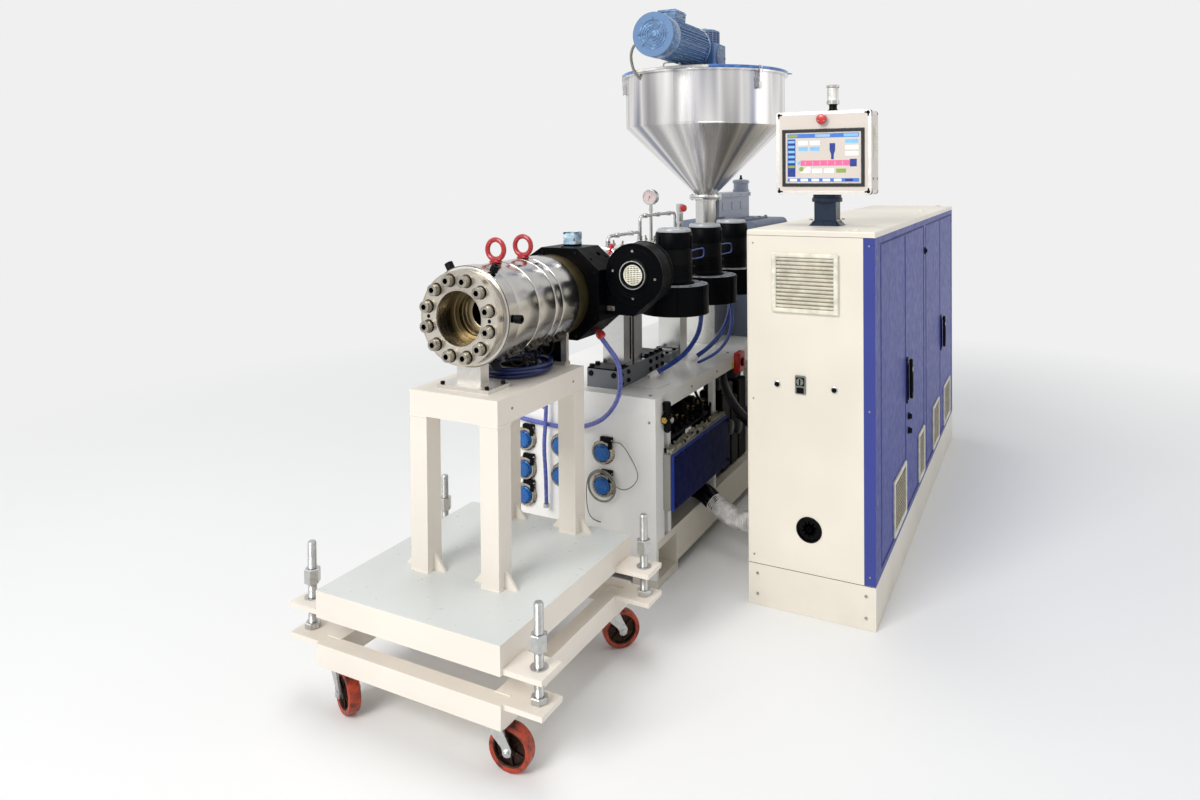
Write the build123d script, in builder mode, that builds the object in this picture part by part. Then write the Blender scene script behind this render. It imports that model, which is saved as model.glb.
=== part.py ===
# A plastic extruder, with its die on a jack trolley and its control cabinet beside it.
# Millimetres. X to the right, Y along the extruder away from the die, Z up, the floor at Z = 0.
from build123d import *
import os
from math import cos, sin, tan, radians

os.makedirs("parts", exist_ok=True)

# Gaps between pieces
seat_gap = 0.3        # a curved piece and what carries it
pin_gap = 0.3         # a pin and its hole, on the radius
moving_gap = 6        # a moving piece and what it passes

# Extruder axis
axis_height = 1150

# Die head
die_flange_radius = 145
die_flange_length = 45
die_bore_radius = 85
die_step_radius = 70
die_throat_radius = 48
die_length = 470
die_body_radius = 140
centring_ring_radius = 157
centring_ring_length = 47
bolt_circle_radius = 119
bolt_head_radius = 18
bolt_head_length = 24
bolt_count = 12
pin_hole_radius = 6
pin_hole_depth = 30
pin_hole_circle_radius = 115
heater_radius = 152
heater_seam = 3
heater_lengths = (118, 97, 43, 107)
lug_turn = -50        # where the bands' clamping lugs stand, in degrees from +X
lug_width = 16
lug_reach = 14
lug_gap = 8
lug_spacing = 24
centring_screw_count = 6
centring_screw_radius = 10
centring_screw_length = 42
eye_ring_radius = 32
eye_wire_radius = 8.5
eye_places = (194, 350)
adapter_radius = 147
adapter_length = 130

# Trolley
table_width = 660
table_length = 750
table_front = 261     # from the die face to the table's front edge
table_top = 365
table_height = 80
frame_top = 208
frame_height = 66
frame_rail_width = 50
outrigger_reach = 120
outrigger_width = 100
outrigger_height = 15
outrigger_inset = 11
jack_radius = 13
jack_top = 472
jack_nut_width = 41
jack_nut_height = 45
lock_nut_height = 18

# Casters
wheel_radius = 62.5
wheel_width = 38
axle_radius = 6
caster_trail = 35
caster_inset_x = 45
caster_inset_y = 61
caster_plate_height = 4
crown_radius = 38
crown_height = 5
fork_leg_height = 4
kingpin_radius = 8
kingpin_length = 30
caster_turns = (5, -25, 45, 90)   # where each wheel trails at rest, in degrees from +X

# Portal stand
portal_width = 330
portal_length = 504
portal_front = 33
portal_drop = 224      # from the extruder axis to the portal's top
beam_height = 78
leg_width = 65
portal_plate_height = 12
gusset_length = 45
gusset_height = 55
gusset_width = 8

# Die supports on the portal
post_width = 90
post_length = 42
post_plate_width = 196
post_plate_length = 110
support_plate_height = 12
cradle_place = 455
cradle_width = 220
cradle_length = 16
cradle_foot_length = 32

# Shroud, its blower and the box on it
shroud_place = 540
shroud_length = 153
shroud_left = 165     # from the extruder axis to each side
shroud_top = 172
shroud_bottom = 155
shroud_corner_left = 47    # where the top side starts and ends
shroud_corner_right = 101
shroud_side_rise = 97      # where the upright sides end
shroud_side_drop = 80
blower_offset = 300
blower_place = 590
blower_length = 90
blower_radius = 110
blower_rise = 82        # from the extruder axis
blower_inlet_radius = 50
blower_inlet_length = 14
duct_drop = 62
duct_rise = 40
junction_box_width = 50
junction_box_length = 54
junction_box_height = 50
junction_box_place = 616
junction_box_shift = 22

# Barrel
barrel_radius = 140
barrel_rear = 1890
barrel_zone_count = 4
barrel_seam = 6
barrel_seam_depth = 2
barrel_neck_radius = 95
barrel_neck_length = 60

# Barrel supports
clamp_width = 140
clamp_length = 435
clamp_height = 76
clamp_place = 905
column_width = 96
column_length = 170
column_place = 1000
rear_column_width = 110
rear_column_length = 80
rear_column_place = 1560
column_slot_width = 18
column_slot_depth = 22

# Zone fans
fan_offset = 297
fan_places = (946, 1268, 1590)
fan_drop = 100        # from the extruder axis to the housings' underside
fan_height = 110
fan_radius = 133
fan_motor_radius = 70
fan_motor_height = 200
fan_cap_radius = 62
fan_cap_height = 14
fan_duct_width = 120
fan_duct_height = 90

# Cooling pipes and gauge on the barrel
pipe_radius = 7
pipe_bend = 22
pipe_spans = ((960, 1250, 42), (1256, 1634, 110))   # start, end and height above the barrel
gauge_place = 1368
gauge_rise = 190
gauge_radius = 34
gauge_length = 28
valve_place = 1695
valve_rise = 115
valve_body_radius = 15
valve_cap_radius = 17

# Feed throat, side feeder and hopper
throat_block_width = 230
throat_block_place = 1890
throat_block_length = 270
throat_block_drop = 140
throat_block_rise = 150
throat_pedestal_width = 190
hopper_place = 2030
throat_radius = 52
sheet = 4
throat_tube_height = 175
cone_height = 346
cylinder_height = 258
hopper_radius = 405
rim_width = 15
rim_height = 8
lid_height = 14
latch_turns = (-150, -30, 90)
latch_width = 16
latch_reach = 24
latch_height = 62
feeder_width = 110
feeder_lift = 26       # above the gearbox
feeder_height = 119
feeder_rear = 2560
feeder_tube_radius = 42
feeder_tube_rise = 70

# Hopper stirrer drive
stirrer_box_width = 170
stirrer_box_height = 150
stirrer_fin_radius = 70
stirrer_fin_height = 70
stirrer_motor_rise = 119
stirrer_motor_front = 1400
cowl_radius = 100
cowl_length = 90
stirrer_motor_radius = 90
stirrer_motor_length = 370
stirrer_neck_radius = 60
fin_count = 24
fin_width = 4
fin_reach = 7
terminal_width = 90
terminal_length = 120
terminal_height = 45

# Gearbox and main motor
gearbox_width = 460
gearbox_length = 560
gearbox_rise = 180
gearbox_round = 30
guard_radius = 120
guard_length = 110
drive_radius = 185
drive_length = 430
drive_drop = 190
drive_foot_width = 320

# Machine base
base_left = 436       # from the extruder axis to the left face
base_right = 261      # from the extruder axis to the right face
base_front = 843
base_length = 2500
base_drop = 421        # from the extruder axis to the deck
deck_height = 60
tray_bottom = 150
tray_height = 30
base_wall = 10
base_post_width = 60
base_post_length = 67
foot_length = 192
foot_width = 100
foot_plate_height = 32
foot_web = 12
skirt_bottom = 36
middle_post_place = 1180  # from the base's front to the middle posts
cover_inset = 4        # from the base's side to the covers in its bays
cover_thickness = 8

# Sockets on the base front: offset from the axis, drop from the deck
socket_places = ((-323, 225), (-323, 346), (-323, 453), (-152, 229), (-152, 350), (38, 229), (38, 358))
socket_radius = 46
socket_length = 18
socket_cap_radius = 28
socket_cap_length = 14
socket_block_width = 52
socket_block_length = 16
socket_block_shift = 16
socket_block_height = 22

# Valve panel in the base's side
panel_place = 909
panel_length = 616
panel_drop = 229       # from the deck to the panel's upper edge
panel_lift = 4         # from the conduit to the panel's lower edge
panel_depth = 44
panel_strut_width = 26
panel_cover = 14      # the blue plate on the panel's front
panel_cover_edge = 6
connector_radius = 7
connector_height = 22
connector_count = 14

# Air regulator and isolator on the base's right side
regulator_place = 913
regulator_drop = 108
regulator_body = 34
regulator_knob_radius = 15
regulator_knob_height = 52
regulator_bowl_radius = 13
regulator_bowl_height = 34
isolator_place = 1716
isolator_length = 82
isolator_height = 96
isolator_depth = 40
isolator_drop = 39

# Control cabinet
cabinet_left = 602    # from the extruder axis
cabinet_right = 1059
cabinet_front = 917
cabinet_length = 2400
plinth_height = 155
cabinet_top = 1378
cabinet_wall = 3
roof_height = 20
front_post_length = 98
middle_post_length = 60
rear_post_length = 42
door_frame_depth = 40
door_frame_rail = 24
door_height_gap = 6
door_thickness = 22
door_round = 3
hinge_pin_radius = 4
hinge_pin_length = 16
mounting_plate_height = 1050
mounting_plate_length = 2200
mounting_plate_gap = 30
cable_hole_offset = 827
cable_hole_height = 312
cable_hole_radius = 43

# Door handles
handle_plate_width = 40
handle_plate_height = 190
handle_plate_depth = 5
handle_height = 720
handle_inset = 34
handle_lever_width = 24
handle_lever_length = 150
handle_lever_depth = 14
handle_hub_radius = 15
handle_pin_radius = 6
handle_reach = handle_plate_depth + moving_gap + handle_lever_depth

# Grille and controls on the cabinet's front
grille_offset = 816
grille_height = 1191
grille_width = 240
grille_tall = 214
grille_depth = 12
grille_border = 14
grille_slats = 11
grille_slat_height = 9
switch_offset = 799
switch_height = 828
switch_width = 38
switch_tall = 66
switch_depth = 14
button_offsets = (714, 919)
button_height = 822
button_radius = 9
button_length = 10

# Operator panel
hmi_offset = 814
hmi_front = 1190
hmi_width = 364
hmi_depth = 140
hmi_rise = 122         # above the cabinet
hmi_height = 320
hmi_round = 12
screen_width = 300
screen_height = 204
screen_depth = 4
screen_rise = 141      # above the box's lower edge
post_column_width = 84
post_column_length = 80
post_flare_width = 127
post_flare_length = 116
post_flare_height = 22
beacon_radius = 24
beacon_base_radius = 14
beacon_base_height = 26
beacon_height = 104
beacon_offset = 838
stop_rise = 288
stop_radius = 20
stop_length = 26

# Cords
conduit_radius = 42
conduit_run = 172
conduit_rise = 60      # from the tray to the conduit's axis
hose_radius = 9
hose_shift = 17       # from the shroud's lower corner
hose_place = 650
riser_radius = 8
cable_radius = 11
gland_length = 16
gland_wall = 5
coil_radius = 110
coil_section = 30
terminal_box_width = 90
terminal_box_length = 120
terminal_box_height = 130

# Overall reach from the extruder axis and the die face
left_reach = max(table_width / 2 + outrigger_reach, base_left)
right_reach = cabinet_right + handle_reach
rear_reach = max(base_front + base_length, cabinet_front + cabinet_length)

# Where the extruder axis and the die face lie, with the origin under the middle of it all
ax = (left_reach - right_reach) / 2
face_y = (table_front - rear_reach) / 2

# Heights that follow from the extruder axis and the cabinet
base_top = axis_height - base_drop
portal_top = axis_height - portal_drop
blower_height = axis_height + blower_rise
fan_bottom = axis_height - fan_drop
barrel_top = axis_height + barrel_radius
throat_block_bottom = axis_height - throat_block_drop
throat_block_top = axis_height + throat_block_rise
cone_bottom = throat_block_top + throat_tube_height
cylinder_bottom = cone_bottom + cone_height
hopper_rim = cylinder_bottom + cylinder_height
gearbox_top = axis_height + gearbox_rise
feeder_bottom = gearbox_top + feeder_lift
feeder_top = feeder_bottom + feeder_height
drive_height = axis_height - drive_drop
hmi_bottom = cabinet_top + hmi_rise

# The cords' points, from the extruder axis, the die face and the floor
tray_top = tray_bottom + tray_height
shroud_right = blower_offset - blower_radius - seat_gap
slant_x = shroud_right - shroud_corner_right
slant_z = shroud_bottom - shroud_side_drop
hose_x = shroud_corner_right + hose_shift
hose_z = axis_height - shroud_bottom + hose_shift * slant_z / slant_x
front_clear = base_front - 2 * hose_radius
conduit_points = (
    (100, 1320, tray_top + conduit_rise),
    (cabinet_left - 2 * conduit_run + 12, 1320, tray_top + conduit_rise),
    (cabinet_left - conduit_run, 1250, tray_top - 5),
    (cabinet_left, 1250, tray_top - 5),
)
hose_points = (
    (hose_x, hose_place, hose_z),
    (hose_x + 52 * slant_z / slant_x, hose_place, hose_z - 52),
    (190, 680, axis_height - 248),
    (182, 716, axis_height - 328),
    (148, 758, base_top + 6),
    (72, 796, base_top - 81),
    (-24, front_clear - 5, base_top - 134),
    (-140, front_clear + 2, base_top - 152),
    (-255, front_clear + 4, base_top - 149),
    (-368, front_clear + 4, base_top - 137),
)
riser_points = (
    (-206, front_clear - 13, base_top - 39),
    (-206, front_clear - 19, base_top - 129),
    (-215, front_clear - 22, base_top - 234),
    (-208, front_clear - 18, base_top - 349),
    (-212, front_clear - 10, base_top - 467),
)
near_cable_points = (
    (272, 1286, fan_bottom),
    (272, 1286, fan_bottom - 85),
    (254, 1276, fan_bottom - 170),
    (204, 1224, base_top + 77),
    (128, 1152, base_top + 23),
)
far_cable_points = (
    (298, 1572, fan_bottom),
    (298, 1572, fan_bottom - 75),
    (276, 1572, fan_bottom - 160),
    (228, 1550, base_top + 83),
    (160, 1510, base_top + 27),
)

die_axis = Axis((ax, face_y, axis_height), (0, 1, 0))
axis_plane = Plane((ax, face_y, axis_height))


# A plane across the extruder, facing away from the die, with its X to the left and its Y up
def across(y, x=0, z=axis_height):
    return Plane((ax + x, face_y + y, z), x_dir=(-1, 0, 0), z_dir=(0, 1, 0))


# A level plane with its origin over the extruder axis, at a distance behind the die face
def level(z, x=0, y=0):
    return Plane((ax + x, face_y + y, z))


# A plane facing right, with its X away from the die and its Y up
def beside(x, y=0, z=0):
    return Plane((ax + x, face_y + y, z), x_dir=(0, 1, 0), z_dir=(1, 0, 0))


# A cord's point, given from the extruder axis, the die face and the floor, in its place
def placed(point):
    return Vector(ax + point[0], face_y + point[1], point[2])


# Radii for a cord's corners: each arc is as large as its two runs allow
def cord_radii(points):
    radii = []
    for before, corner, after in zip(points, points[1:], points[2:]):
        run_in = placed(corner) - placed(before)
        run_out = placed(after) - placed(corner)
        turn = radians(run_in.get_angle(run_out))
        radii.append(0.45 * min(run_in.length, run_out.length) / tan(turn / 2))
    return radii


# A gland that holds a cord's end, reaching on from the cord into the piece behind it
def gland(end, before, radius, reach):
    mouth = Plane(placed(end), z_dir=placed(end) - placed(before))
    with Locations(mouth):
        Cylinder(radius + gland_wall, reach, align=(Align.CENTER, Align.CENTER, Align.MIN))


# Trolley: lower frame with its outrigger plates and caster plates
table_middle = table_length / 2 - table_front
frame_bottom = frame_top - frame_height
caster_x = table_width / 2 - caster_inset_x
caster_y = table_length / 2 - caster_inset_y
outrigger_y = table_length / 2 - outrigger_inset - outrigger_width / 2
jack_x = table_width / 2 + outrigger_reach * 2 / 3
crown_top = frame_bottom - caster_plate_height - seat_gap

with BuildPart() as trolley_frame:
    with BuildSketch(level(frame_bottom, 0, table_middle)):
        Rectangle(table_width, table_length)
        Rectangle(
            table_width - 2 * frame_rail_width, table_length - 2 * frame_rail_width, mode=Mode.SUBTRACT
        )
    extrude(amount=frame_height)
    with BuildSketch(level(frame_top - outrigger_height, 0, table_middle)):
        with GridLocations(table_width + outrigger_reach, 2 * outrigger_y, 2, 2):
            Rectangle(outrigger_reach, outrigger_width)
    extrude(amount=outrigger_height)
    with BuildSketch(level(frame_bottom - caster_plate_height, 0, table_middle)):
        with GridLocations(2 * caster_x, 2 * caster_y, 2, 2):
            Rectangle(2 * caster_inset_x, 2 * caster_inset_x)
    extrude(amount=caster_plate_height)
    with BuildSketch(level(frame_bottom - caster_plate_height, 0, table_middle)):
        with GridLocations(2 * caster_x, 2 * caster_y, 2, 2):
            Circle(kingpin_radius + pin_gap)
    extrude(amount=kingpin_length + moving_gap, mode=Mode.SUBTRACT)
    with BuildSketch(level(frame_top, 0, table_middle)):
        with GridLocations(2 * jack_x, 2 * outrigger_y, 2, 2):
            Circle(jack_radius + seat_gap)
    extrude(amount=-outrigger_height, mode=Mode.SUBTRACT)
trolley_frame.part.label = "trolley_frame"
export_step(trolley_frame.part, "parts/trolley_frame.step")

# Trolley table, a closed welded box with its own outrigger plates
table_bottom = table_top - table_height
with BuildPart() as trolley_table:
    with BuildSketch(level(table_bottom, 0, table_middle)):
        Rectangle(table_width, table_length)
    extrude(amount=table_height)
    with BuildSketch(level(table_bottom, 0, table_middle)):
        with GridLocations(table_width + outrigger_reach, 2 * outrigger_y, 2, 2):
            Rectangle(outrigger_reach, outrigger_width)
    extrude(amount=outrigger_height)
    with BuildSketch(level(table_bottom, 0, table_middle)):
        with GridLocations(2 * jack_x, 2 * outrigger_y, 2, 2):
            Circle(jack_radius + seat_gap)
    extrude(amount=outrigger_height, mode=Mode.SUBTRACT)
trolley_table.part.label = "trolley_table"
export_step(trolley_table.part, "parts/trolley_table.step")

# Four jack screws, each with a nut under its upper plate and one on each side of the lower plate
with BuildPart() as jack_screws:
    with BuildSketch(level(frame_top - outrigger_height - lock_nut_height, 0, table_middle)):
        with GridLocations(2 * jack_x, 2 * outrigger_y, 2, 2):
            Circle(jack_radius)
    extrude(amount=jack_top - frame_top + outrigger_height + lock_nut_height)
    for nut_bottom, nut_height in (
        (frame_top - outrigger_height - lock_nut_height, lock_nut_height),
        (frame_top, lock_nut_height),
        (table_bottom - lock_nut_height, lock_nut_height),
        (table_bottom + outrigger_height + jack_nut_height, jack_nut_height),
    ):
        with BuildSketch(level(nut_bottom, 0, table_middle)):
            with GridLocations(2 * jack_x, 2 * outrigger_y, 2, 2):
                RegularPolygon(jack_nut_width / 2, 6, major_radius=False)
        extrude(amount=nut_height)
jack_screws.part.label = "jack_screws"
export_step(jack_screws.part, "parts/jack_screws.step")

# Casters: a fork that swivels on its kingpin, and a wheel that turns on the fork's axle
fork_inside = wheel_width / 2 + moving_gap
caster_corners = ((1, -1), (-1, -1), (1, 1), (-1, 1))
for number, ((side_x, side_y), turn) in enumerate(zip(caster_corners, caster_turns), start=1):
    swivel_x = ax + side_x * caster_x
    swivel_y = face_y + table_middle + side_y * caster_y
    along = (cos(radians(turn)), sin(radians(turn)), 0)
    wheel_plane = Plane((swivel_x, swivel_y, 0), x_dir=along, z_dir=(along[1], -along[0], 0))

    with BuildPart() as caster_fork:
        with BuildSketch(Plane((swivel_x, swivel_y, crown_top - crown_height))):
            Circle(crown_radius)
        extrude(amount=crown_height)
        with BuildSketch(Plane((swivel_x, swivel_y, crown_top))):
            Circle(kingpin_radius)
        extrude(amount=kingpin_length)
        for side in (-1, 1):
            with BuildSketch(wheel_plane.offset(side * fork_inside)):
                with BuildLine():
                    Polyline(
                        (-crown_radius / 2, crown_top - crown_height / 2),
                        (crown_radius / 2, crown_top - crown_height / 2),
                        (caster_trail + 2.5 * axle_radius, wheel_radius + axle_radius),
                        (caster_trail + axle_radius, wheel_radius - 2 * axle_radius),
                        (caster_trail - axle_radius, wheel_radius - 2 * axle_radius),
                        (caster_trail - 2.5 * axle_radius, wheel_radius + axle_radius),
                        close=True,
                    )
                make_face()
            extrude(amount=side * fork_leg_height)
        with BuildSketch(wheel_plane.offset(-fork_inside - 2 * fork_leg_height)):
            with Locations((caster_trail, wheel_radius)):
                Circle(axle_radius)
        extrude(amount=2 * fork_inside + 4 * fork_leg_height)
    fork_name = f"caster_fork_{number}"
    caster_fork.part.label = fork_name
    export_step(caster_fork.part, f"parts/{fork_name}.step")

    with BuildPart() as caster_wheel:
        with BuildSketch(wheel_plane.offset(-wheel_width / 2)):
            with Locations((caster_trail, wheel_radius)):
                Circle(wheel_radius)
                Circle(axle_radius + pin_gap, mode=Mode.SUBTRACT)
        extrude(amount=wheel_width)
        tread_edges = caster_wheel.edges().filter_by(GeomType.CIRCLE).group_by(SortBy.RADIUS)[-1]
        fillet(tread_edges, wheel_width / 5)
    wheel_name = f"caster_wheel_{number}"
    caster_wheel.part.label = wheel_name
    export_step(caster_wheel.part, f"parts/{wheel_name}.step")

# Portal stand: four legs with gussets under a ring of beams and its top plate
portal_middle = portal_length / 2 - portal_front
leg_x = portal_width / 2 - leg_width / 2
leg_y = portal_length / 2 - leg_width / 2
with BuildPart() as portal_stand:
    with BuildSketch(level(table_top, 0, portal_middle)):
        with GridLocations(2 * leg_x, 2 * leg_y, 2, 2):
            Rectangle(leg_width, leg_width)
    extrude(amount=portal_top - table_top)
    with BuildSketch(level(portal_top - beam_height, 0, portal_middle)):
        Rectangle(portal_width, portal_length)
        Rectangle(portal_width - 2 * leg_width, portal_length - 2 * leg_width, mode=Mode.SUBTRACT)
    extrude(amount=beam_height)
    with BuildSketch(level(portal_top - portal_plate_height, 0, portal_middle)):
        Rectangle(portal_width, portal_length)
    extrude(amount=portal_plate_height)
    for row_y in (portal_middle - leg_y, portal_middle + leg_y):
        with BuildSketch(across(row_y - gusset_width / 2, 0, table_top)):
            for middle in (-leg_x, leg_x):
                for side in (-1, 1):
                    root = middle + side * leg_width / 2
                    with BuildLine():
                        Polyline(
                            (root, 0),
                            (root + side * gusset_length, 0),
                            (root, gusset_height),
                            close=True,
                        )
                    make_face()
        extrude(amount=gusset_width)
portal_stand.part.label = "portal_stand"
export_step(portal_stand.part, "parts/portal_stand.step")

# Die supports on the portal: a post under the centring ring and a cradle under the rear of the body
support_top = axis_height - die_body_radius * 0.8
ring_middle = die_flange_length + centring_ring_length / 2
with BuildPart() as die_supports:
    with BuildSketch(level(portal_top, 0, ring_middle)):
        Rectangle(post_plate_width, post_plate_length)
    extrude(amount=support_plate_height)
    with BuildSketch(level(portal_top, 0, ring_middle)):
        Rectangle(post_width, post_length)
    extrude(amount=support_top - portal_top)
    with BuildSketch(level(portal_top, 0, cradle_place)):
        Rectangle(cradle_width, cradle_foot_length)
    extrude(amount=support_plate_height)
    with BuildSketch(level(portal_top, 0, cradle_place)):
        Rectangle(cradle_width, cradle_length)
    extrude(amount=support_top - portal_top)
    with BuildSketch(across(-die_flange_length)):
        Circle(centring_ring_radius + seat_gap)
    extrude(amount=die_length / 2 + die_flange_length, mode=Mode.SUBTRACT)
    with BuildSketch(across(die_length / 2)):
        Circle(heater_radius + seat_gap)
    extrude(amount=die_length, mode=Mode.SUBTRACT)
die_supports.part.label = "die_supports"
export_step(die_supports.part, "parts/die_supports.step")

# Die flange: the open front ring, with a pin hole on each side
with BuildPart() as die_flange:
    with BuildSketch(across(0)):
        Circle(die_flange_radius)
        Circle(die_bore_radius, mode=Mode.SUBTRACT)
    extrude(amount=die_flange_length)
    with BuildSketch(across(0)):
        with PolarLocations(pin_hole_circle_radius, 2):
            Circle(pin_hole_radius)
    extrude(amount=pin_hole_depth, mode=Mode.SUBTRACT)
die_flange.part.label = "die_flange"
export_step(die_flange.part, "parts/die_flange.step")

# Die body: one turned profile with the centring ring in front and the stepped flow bore inside
centring_end = die_flange_length + centring_ring_length
with BuildPart() as die_body:
    with BuildSketch(axis_plane):
        with BuildLine():
            Polyline(
                (die_bore_radius, die_flange_length),
                (centring_ring_radius, die_flange_length),
                (centring_ring_radius, centring_end),
                (die_body_radius, centring_end),
                (die_body_radius, die_length),
                (0, die_length),
                (0, die_length * 0.75),
                (die_throat_radius, die_length * 0.75),
                (die_throat_radius, die_length * 0.4),
                (die_step_radius, centring_end + die_flange_length),
                (die_step_radius, centring_end),
                (die_bore_radius, centring_end),
                close=True,
            )
        make_face()
    revolve(axis=die_axis)
    for place in eye_places:
        with BuildSketch(level(axis_height + die_body_radius, 0, place)):
            Circle(eye_wire_radius + seat_gap)
        extrude(amount=-centring_screw_length, mode=Mode.SUBTRACT)
    for step in range(centring_screw_count):
        angle = radians(360 * step / centring_screw_count)
        out = (cos(angle), 0, sin(angle))
        seat = centring_ring_radius - centring_screw_radius
        place = (ax + seat * out[0], face_y + ring_middle, axis_height + seat * out[2])
        with BuildSketch(Plane(place, z_dir=out)):
            Circle(centring_screw_radius + seat_gap)
        extrude(amount=2 * centring_screw_radius, mode=Mode.SUBTRACT)
die_body.part.label = "die_body"
export_step(die_body.part, "parts/die_body.step")

# Die screws: the flange's socket heads and the centring screws round the ring
with BuildPart() as die_screws:
    with BuildSketch(across(0)):
        with PolarLocations(bolt_circle_radius, bolt_count, start_angle=180 / bolt_count):
            Circle(bolt_head_radius)
            RegularPolygon(bolt_head_radius / 2, 6, mode=Mode.SUBTRACT)
    extrude(amount=-bolt_head_length)
    with BuildSketch(across(0)):
        with PolarLocations(bolt_circle_radius, bolt_count, start_angle=180 / bolt_count):
            Circle(bolt_head_radius * 0.9)
    extrude(amount=-bolt_head_length / 2)
    for step in range(centring_screw_count):
        angle = radians(360 * step / centring_screw_count)
        out = (cos(angle), 0, sin(angle))
        seat = centring_ring_radius - centring_screw_radius
        place = (ax + seat * out[0], face_y + ring_middle, axis_height + seat * out[2])
        with BuildSketch(Plane(place, z_dir=out)):
            Circle(centring_screw_radius)
        extrude(amount=centring_screw_length)
die_screws.part.label = "die_screws"
export_step(die_screws.part, "parts/die_screws.step")

# Heater bands round the die body, with a seam between them
lug_out = (cos(radians(lug_turn)), 0, sin(radians(lug_turn)))
with BuildPart() as heater_bands:
    band_start = centring_end + heater_seam
    for band_length in heater_lengths:
        with BuildSketch(across(band_start)):
            Circle(heater_radius)
            Circle(die_body_radius + seat_gap, mode=Mode.SUBTRACT)
        extrude(amount=band_length)
        for side in (-1, 1):
            lug_plane = Plane(across(band_start + band_length / 2).origin, x_dir=(0, 1, 0), z_dir=lug_out)
            with BuildSketch(lug_plane.offset(heater_radius - 1)):
                with Locations((0, side * (lug_gap + lug_width) / 2)):
                    Rectangle(min(band_length - lug_spacing, 2 * lug_spacing), lug_width)
            extrude(amount=lug_reach)
        band_start = band_start + band_length + heater_seam
    for place in eye_places:
        with BuildSketch(level(axis_height, 0, place)):
            Circle(2 * eye_wire_radius + seat_gap)
        extrude(amount=2 * heater_radius, mode=Mode.SUBTRACT)
heater_bands.part.label = "heater_bands"
export_step(heater_bands.part, "parts/heater_bands.step")

# Lifting eyes on the die
eye_middle = axis_height + heater_radius + 1 + eye_wire_radius + eye_ring_radius
with BuildPart() as lifting_eyes:
    for place in eye_places:
        with BuildSketch(Plane((ax, face_y + place, eye_middle))):
            with Locations((eye_ring_radius, 0)):
                Circle(eye_wire_radius)
        revolve(axis=Axis((ax, face_y + place, eye_middle), (0, 1, 0)))
        with BuildSketch(level(axis_height + die_body_radius, 0, place)):
            Circle(2 * eye_wire_radius)
        extrude(amount=eye_middle - eye_ring_radius - axis_height - die_body_radius)
        with BuildSketch(level(axis_height + die_body_radius, 0, place)):
            Circle(eye_wire_radius)
        extrude(amount=-centring_screw_length + 2)
lifting_eyes.part.label = "lifting_eyes"
export_step(lifting_eyes.part, "parts/lifting_eyes.step")

# Adapter ring between the die and the barrel
adapter_end = die_length + adapter_length
with BuildPart() as adapter_ring:
    with BuildSketch(across(die_length)):
        Circle(adapter_radius)
    extrude(amount=adapter_length)
adapter_ring.part.label = "adapter_ring"
export_step(adapter_ring.part, "parts/adapter_ring.step")

# Octagonal shroud round the adapter, with the junction box on top
with BuildPart() as front_shroud:
    with BuildSketch(across(shroud_place)):
        with BuildLine():
            Polyline(
                (-shroud_right, shroud_side_rise),
                (-shroud_corner_right, shroud_top),
                (shroud_corner_left, shroud_top),
                (shroud_left, shroud_side_rise),
                (shroud_left, -shroud_side_drop),
                (shroud_left - slant_x, -shroud_bottom),
                (-shroud_corner_right, -shroud_bottom),
                (-shroud_right, -shroud_side_drop),
                close=True,
            )
        make_face()
        Circle(adapter_radius + seat_gap, mode=Mode.SUBTRACT)
    extrude(amount=shroud_length)
    box_middle = junction_box_place + junction_box_length / 2
    with BuildSketch(level(axis_height + shroud_top, junction_box_shift, box_middle)):
        RectangleRounded(junction_box_width, junction_box_length, sheet)
    extrude(amount=junction_box_height)
    gland(hose_points[0], hose_points[1], hose_radius, gland_length)
front_shroud.part.label = "front_shroud"
export_step(front_shroud.part, "parts/front_shroud.step")

# Blower beside the shroud: a round housing with its duct to the shroud and an inlet ring in front
with BuildPart() as front_blower:
    with BuildSketch(across(blower_place, blower_offset, blower_height)):
        Circle(blower_radius)
    extrude(amount=blower_length)
    with BuildSketch(across(blower_place)):
        with BuildLine():
            Polyline(
                (-shroud_right, -duct_drop),
                (-blower_offset, -duct_drop),
                (-blower_offset - blower_radius * 0.7, blower_rise - blower_radius * 0.7),
                (-blower_offset, blower_rise),
                (-shroud_right, duct_rise),
                close=True,
            )
        make_face()
    extrude(amount=blower_length)
    with BuildSketch(across(blower_place, blower_offset, blower_height)):
        Circle(blower_inlet_radius)
        Circle(blower_inlet_radius - sheet, mode=Mode.SUBTRACT)
    extrude(amount=-blower_inlet_length)
front_blower.part.label = "front_blower"
export_step(front_blower.part, "parts/front_blower.step")

# Barrel: one turned profile in zones, with its neck into the feed block
barrel_length = barrel_rear - adapter_end - barrel_neck_length
zone_length = barrel_length / barrel_zone_count
with BuildPart() as barrel:
    with BuildSketch(across(adapter_end)):
        Circle(barrel_radius)
    extrude(amount=barrel_length)
    for zone in range(1, barrel_zone_count):
        with BuildSketch(across(adapter_end + zone * zone_length - barrel_seam / 2)):
            Circle(barrel_radius)
            Circle(barrel_radius - barrel_seam_depth, mode=Mode.SUBTRACT)
        extrude(amount=barrel_seam, mode=Mode.SUBTRACT)
    with BuildSketch(across(adapter_end + barrel_length)):
        Circle(barrel_neck_radius)
    extrude(amount=barrel_neck_length)
barrel.part.label = "barrel"
export_step(barrel.part, "parts/barrel.step")

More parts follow.
